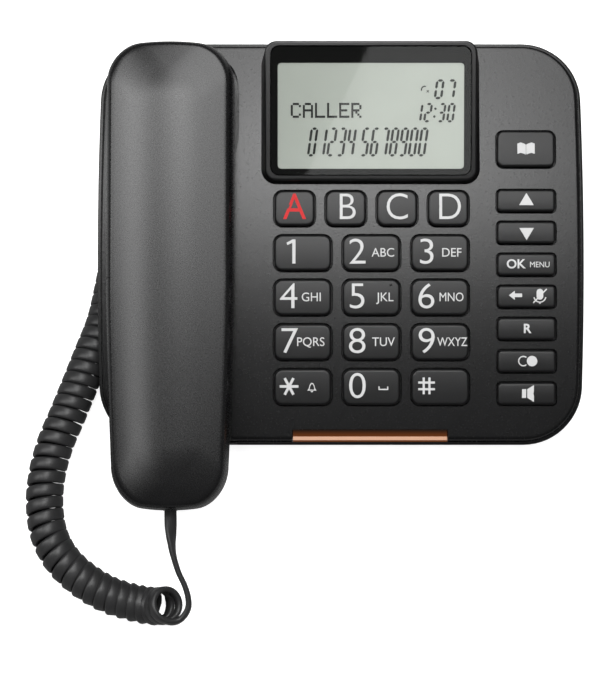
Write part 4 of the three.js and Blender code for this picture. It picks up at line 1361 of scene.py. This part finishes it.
def make_glare():
    """A dim panel whose edge is mirrored as a slanting line across the window."""
    low, high = (mirrored_point(*p) for p in (GLARE_EDGE[1], GLARE_EDGE[0]))
    along = (high - low).normalized()
    right = Vector((along.y, -along.x, 0)).normalized()
    if right.x < 0:
        right.negate()
    centre = (low + high) / 2 + right * GLARE_SIZE_M[0] / 2
    panel = area_light("glare_panel", centre, centre - Vector((0, 0, 1)), GLARE_SIZE_M,
                       GLARE_RADIANCE * math.pi * GLARE_SIZE_M[0] * GLARE_SIZE_M[1])
    panel.rotation_euler = (0, 0, math.atan2(right.y, right.x))
    shine_only_on("glare_panel", "display_window_fine", frame["nodes"]["lcd_panel"].name)


CAMERA_TILT = math.radians(12)
CAMERA_DISTANCE = 1000.0
CAMERA_TARGET = Vector((-15.3, -29.75, 25.0))
CAMERA_LENS = 133.65


def camera_place():
    away = Vector((0, -math.sin(CAMERA_TILT), math.cos(CAMERA_TILT)))
    return CAMERA_TARGET + away * CAMERA_DISTANCE


def make_camera():
    camera = bpy.data.cameras.new("camera")
    camera.sensor_width = 36.0
    camera.sensor_fit = "HORIZONTAL"
    camera.lens = CAMERA_LENS
    obj = link(bpy.data.objects.new("camera", camera))
    obj.location = camera_place() * MM
    obj.rotation_euler = (CAMERA_TILT, 0, 0)
    bpy.context.scene.camera = obj


LAMPS_M = {                            # (place, target, size, power in watts)
    "softbox": ((0.06, 0.685, 1.4), (0.06, 0.685, 0), (0.43, 1.55), 10.6),
    "left_strip": ((-0.72, 0.1, 1.2), (-0.07, 0.1, 0.05), (0.24, 2.1), 9.5),
    "handset_strip": ((0.58, 0.60, 1.4), (0.58, 0.60, 0), (0.60, 1.4), 14),
    "handset_soft": ((-0.66, 0.05, 1.4), (-0.66, 0.05, 0), (0.34, 1.3), 6),
    "fill": ((0, 0.1, 1.7), (0, 0.1, 0), (1.6, 1.6), 27),
}


def make_lamps():
    for name, (place, target, size, power) in LAMPS_M.items():
        area_light(name, place, target, size, power)
    for name in ("handset_strip", "handset_soft"):
        shine_only_on(name, "handset_back_fine", "handset_front_fine")
    bpy.data.objects["fill"].visible_glossy = False
    keep_off_window("softbox", "left_strip")
    make_glare()


def make_world():
    world = bpy.data.worlds.new("studio")
    world.use_nodes = True
    set_inputs(world.node_tree.nodes["Background"], {"Color": (1, 1, 1, 1), "Strength": 0.08})
    bpy.context.scene.world = world


make_floor()
make_camera()
make_lamps()
make_world()
bpy.context.scene.view_settings.view_transform = "Standard"
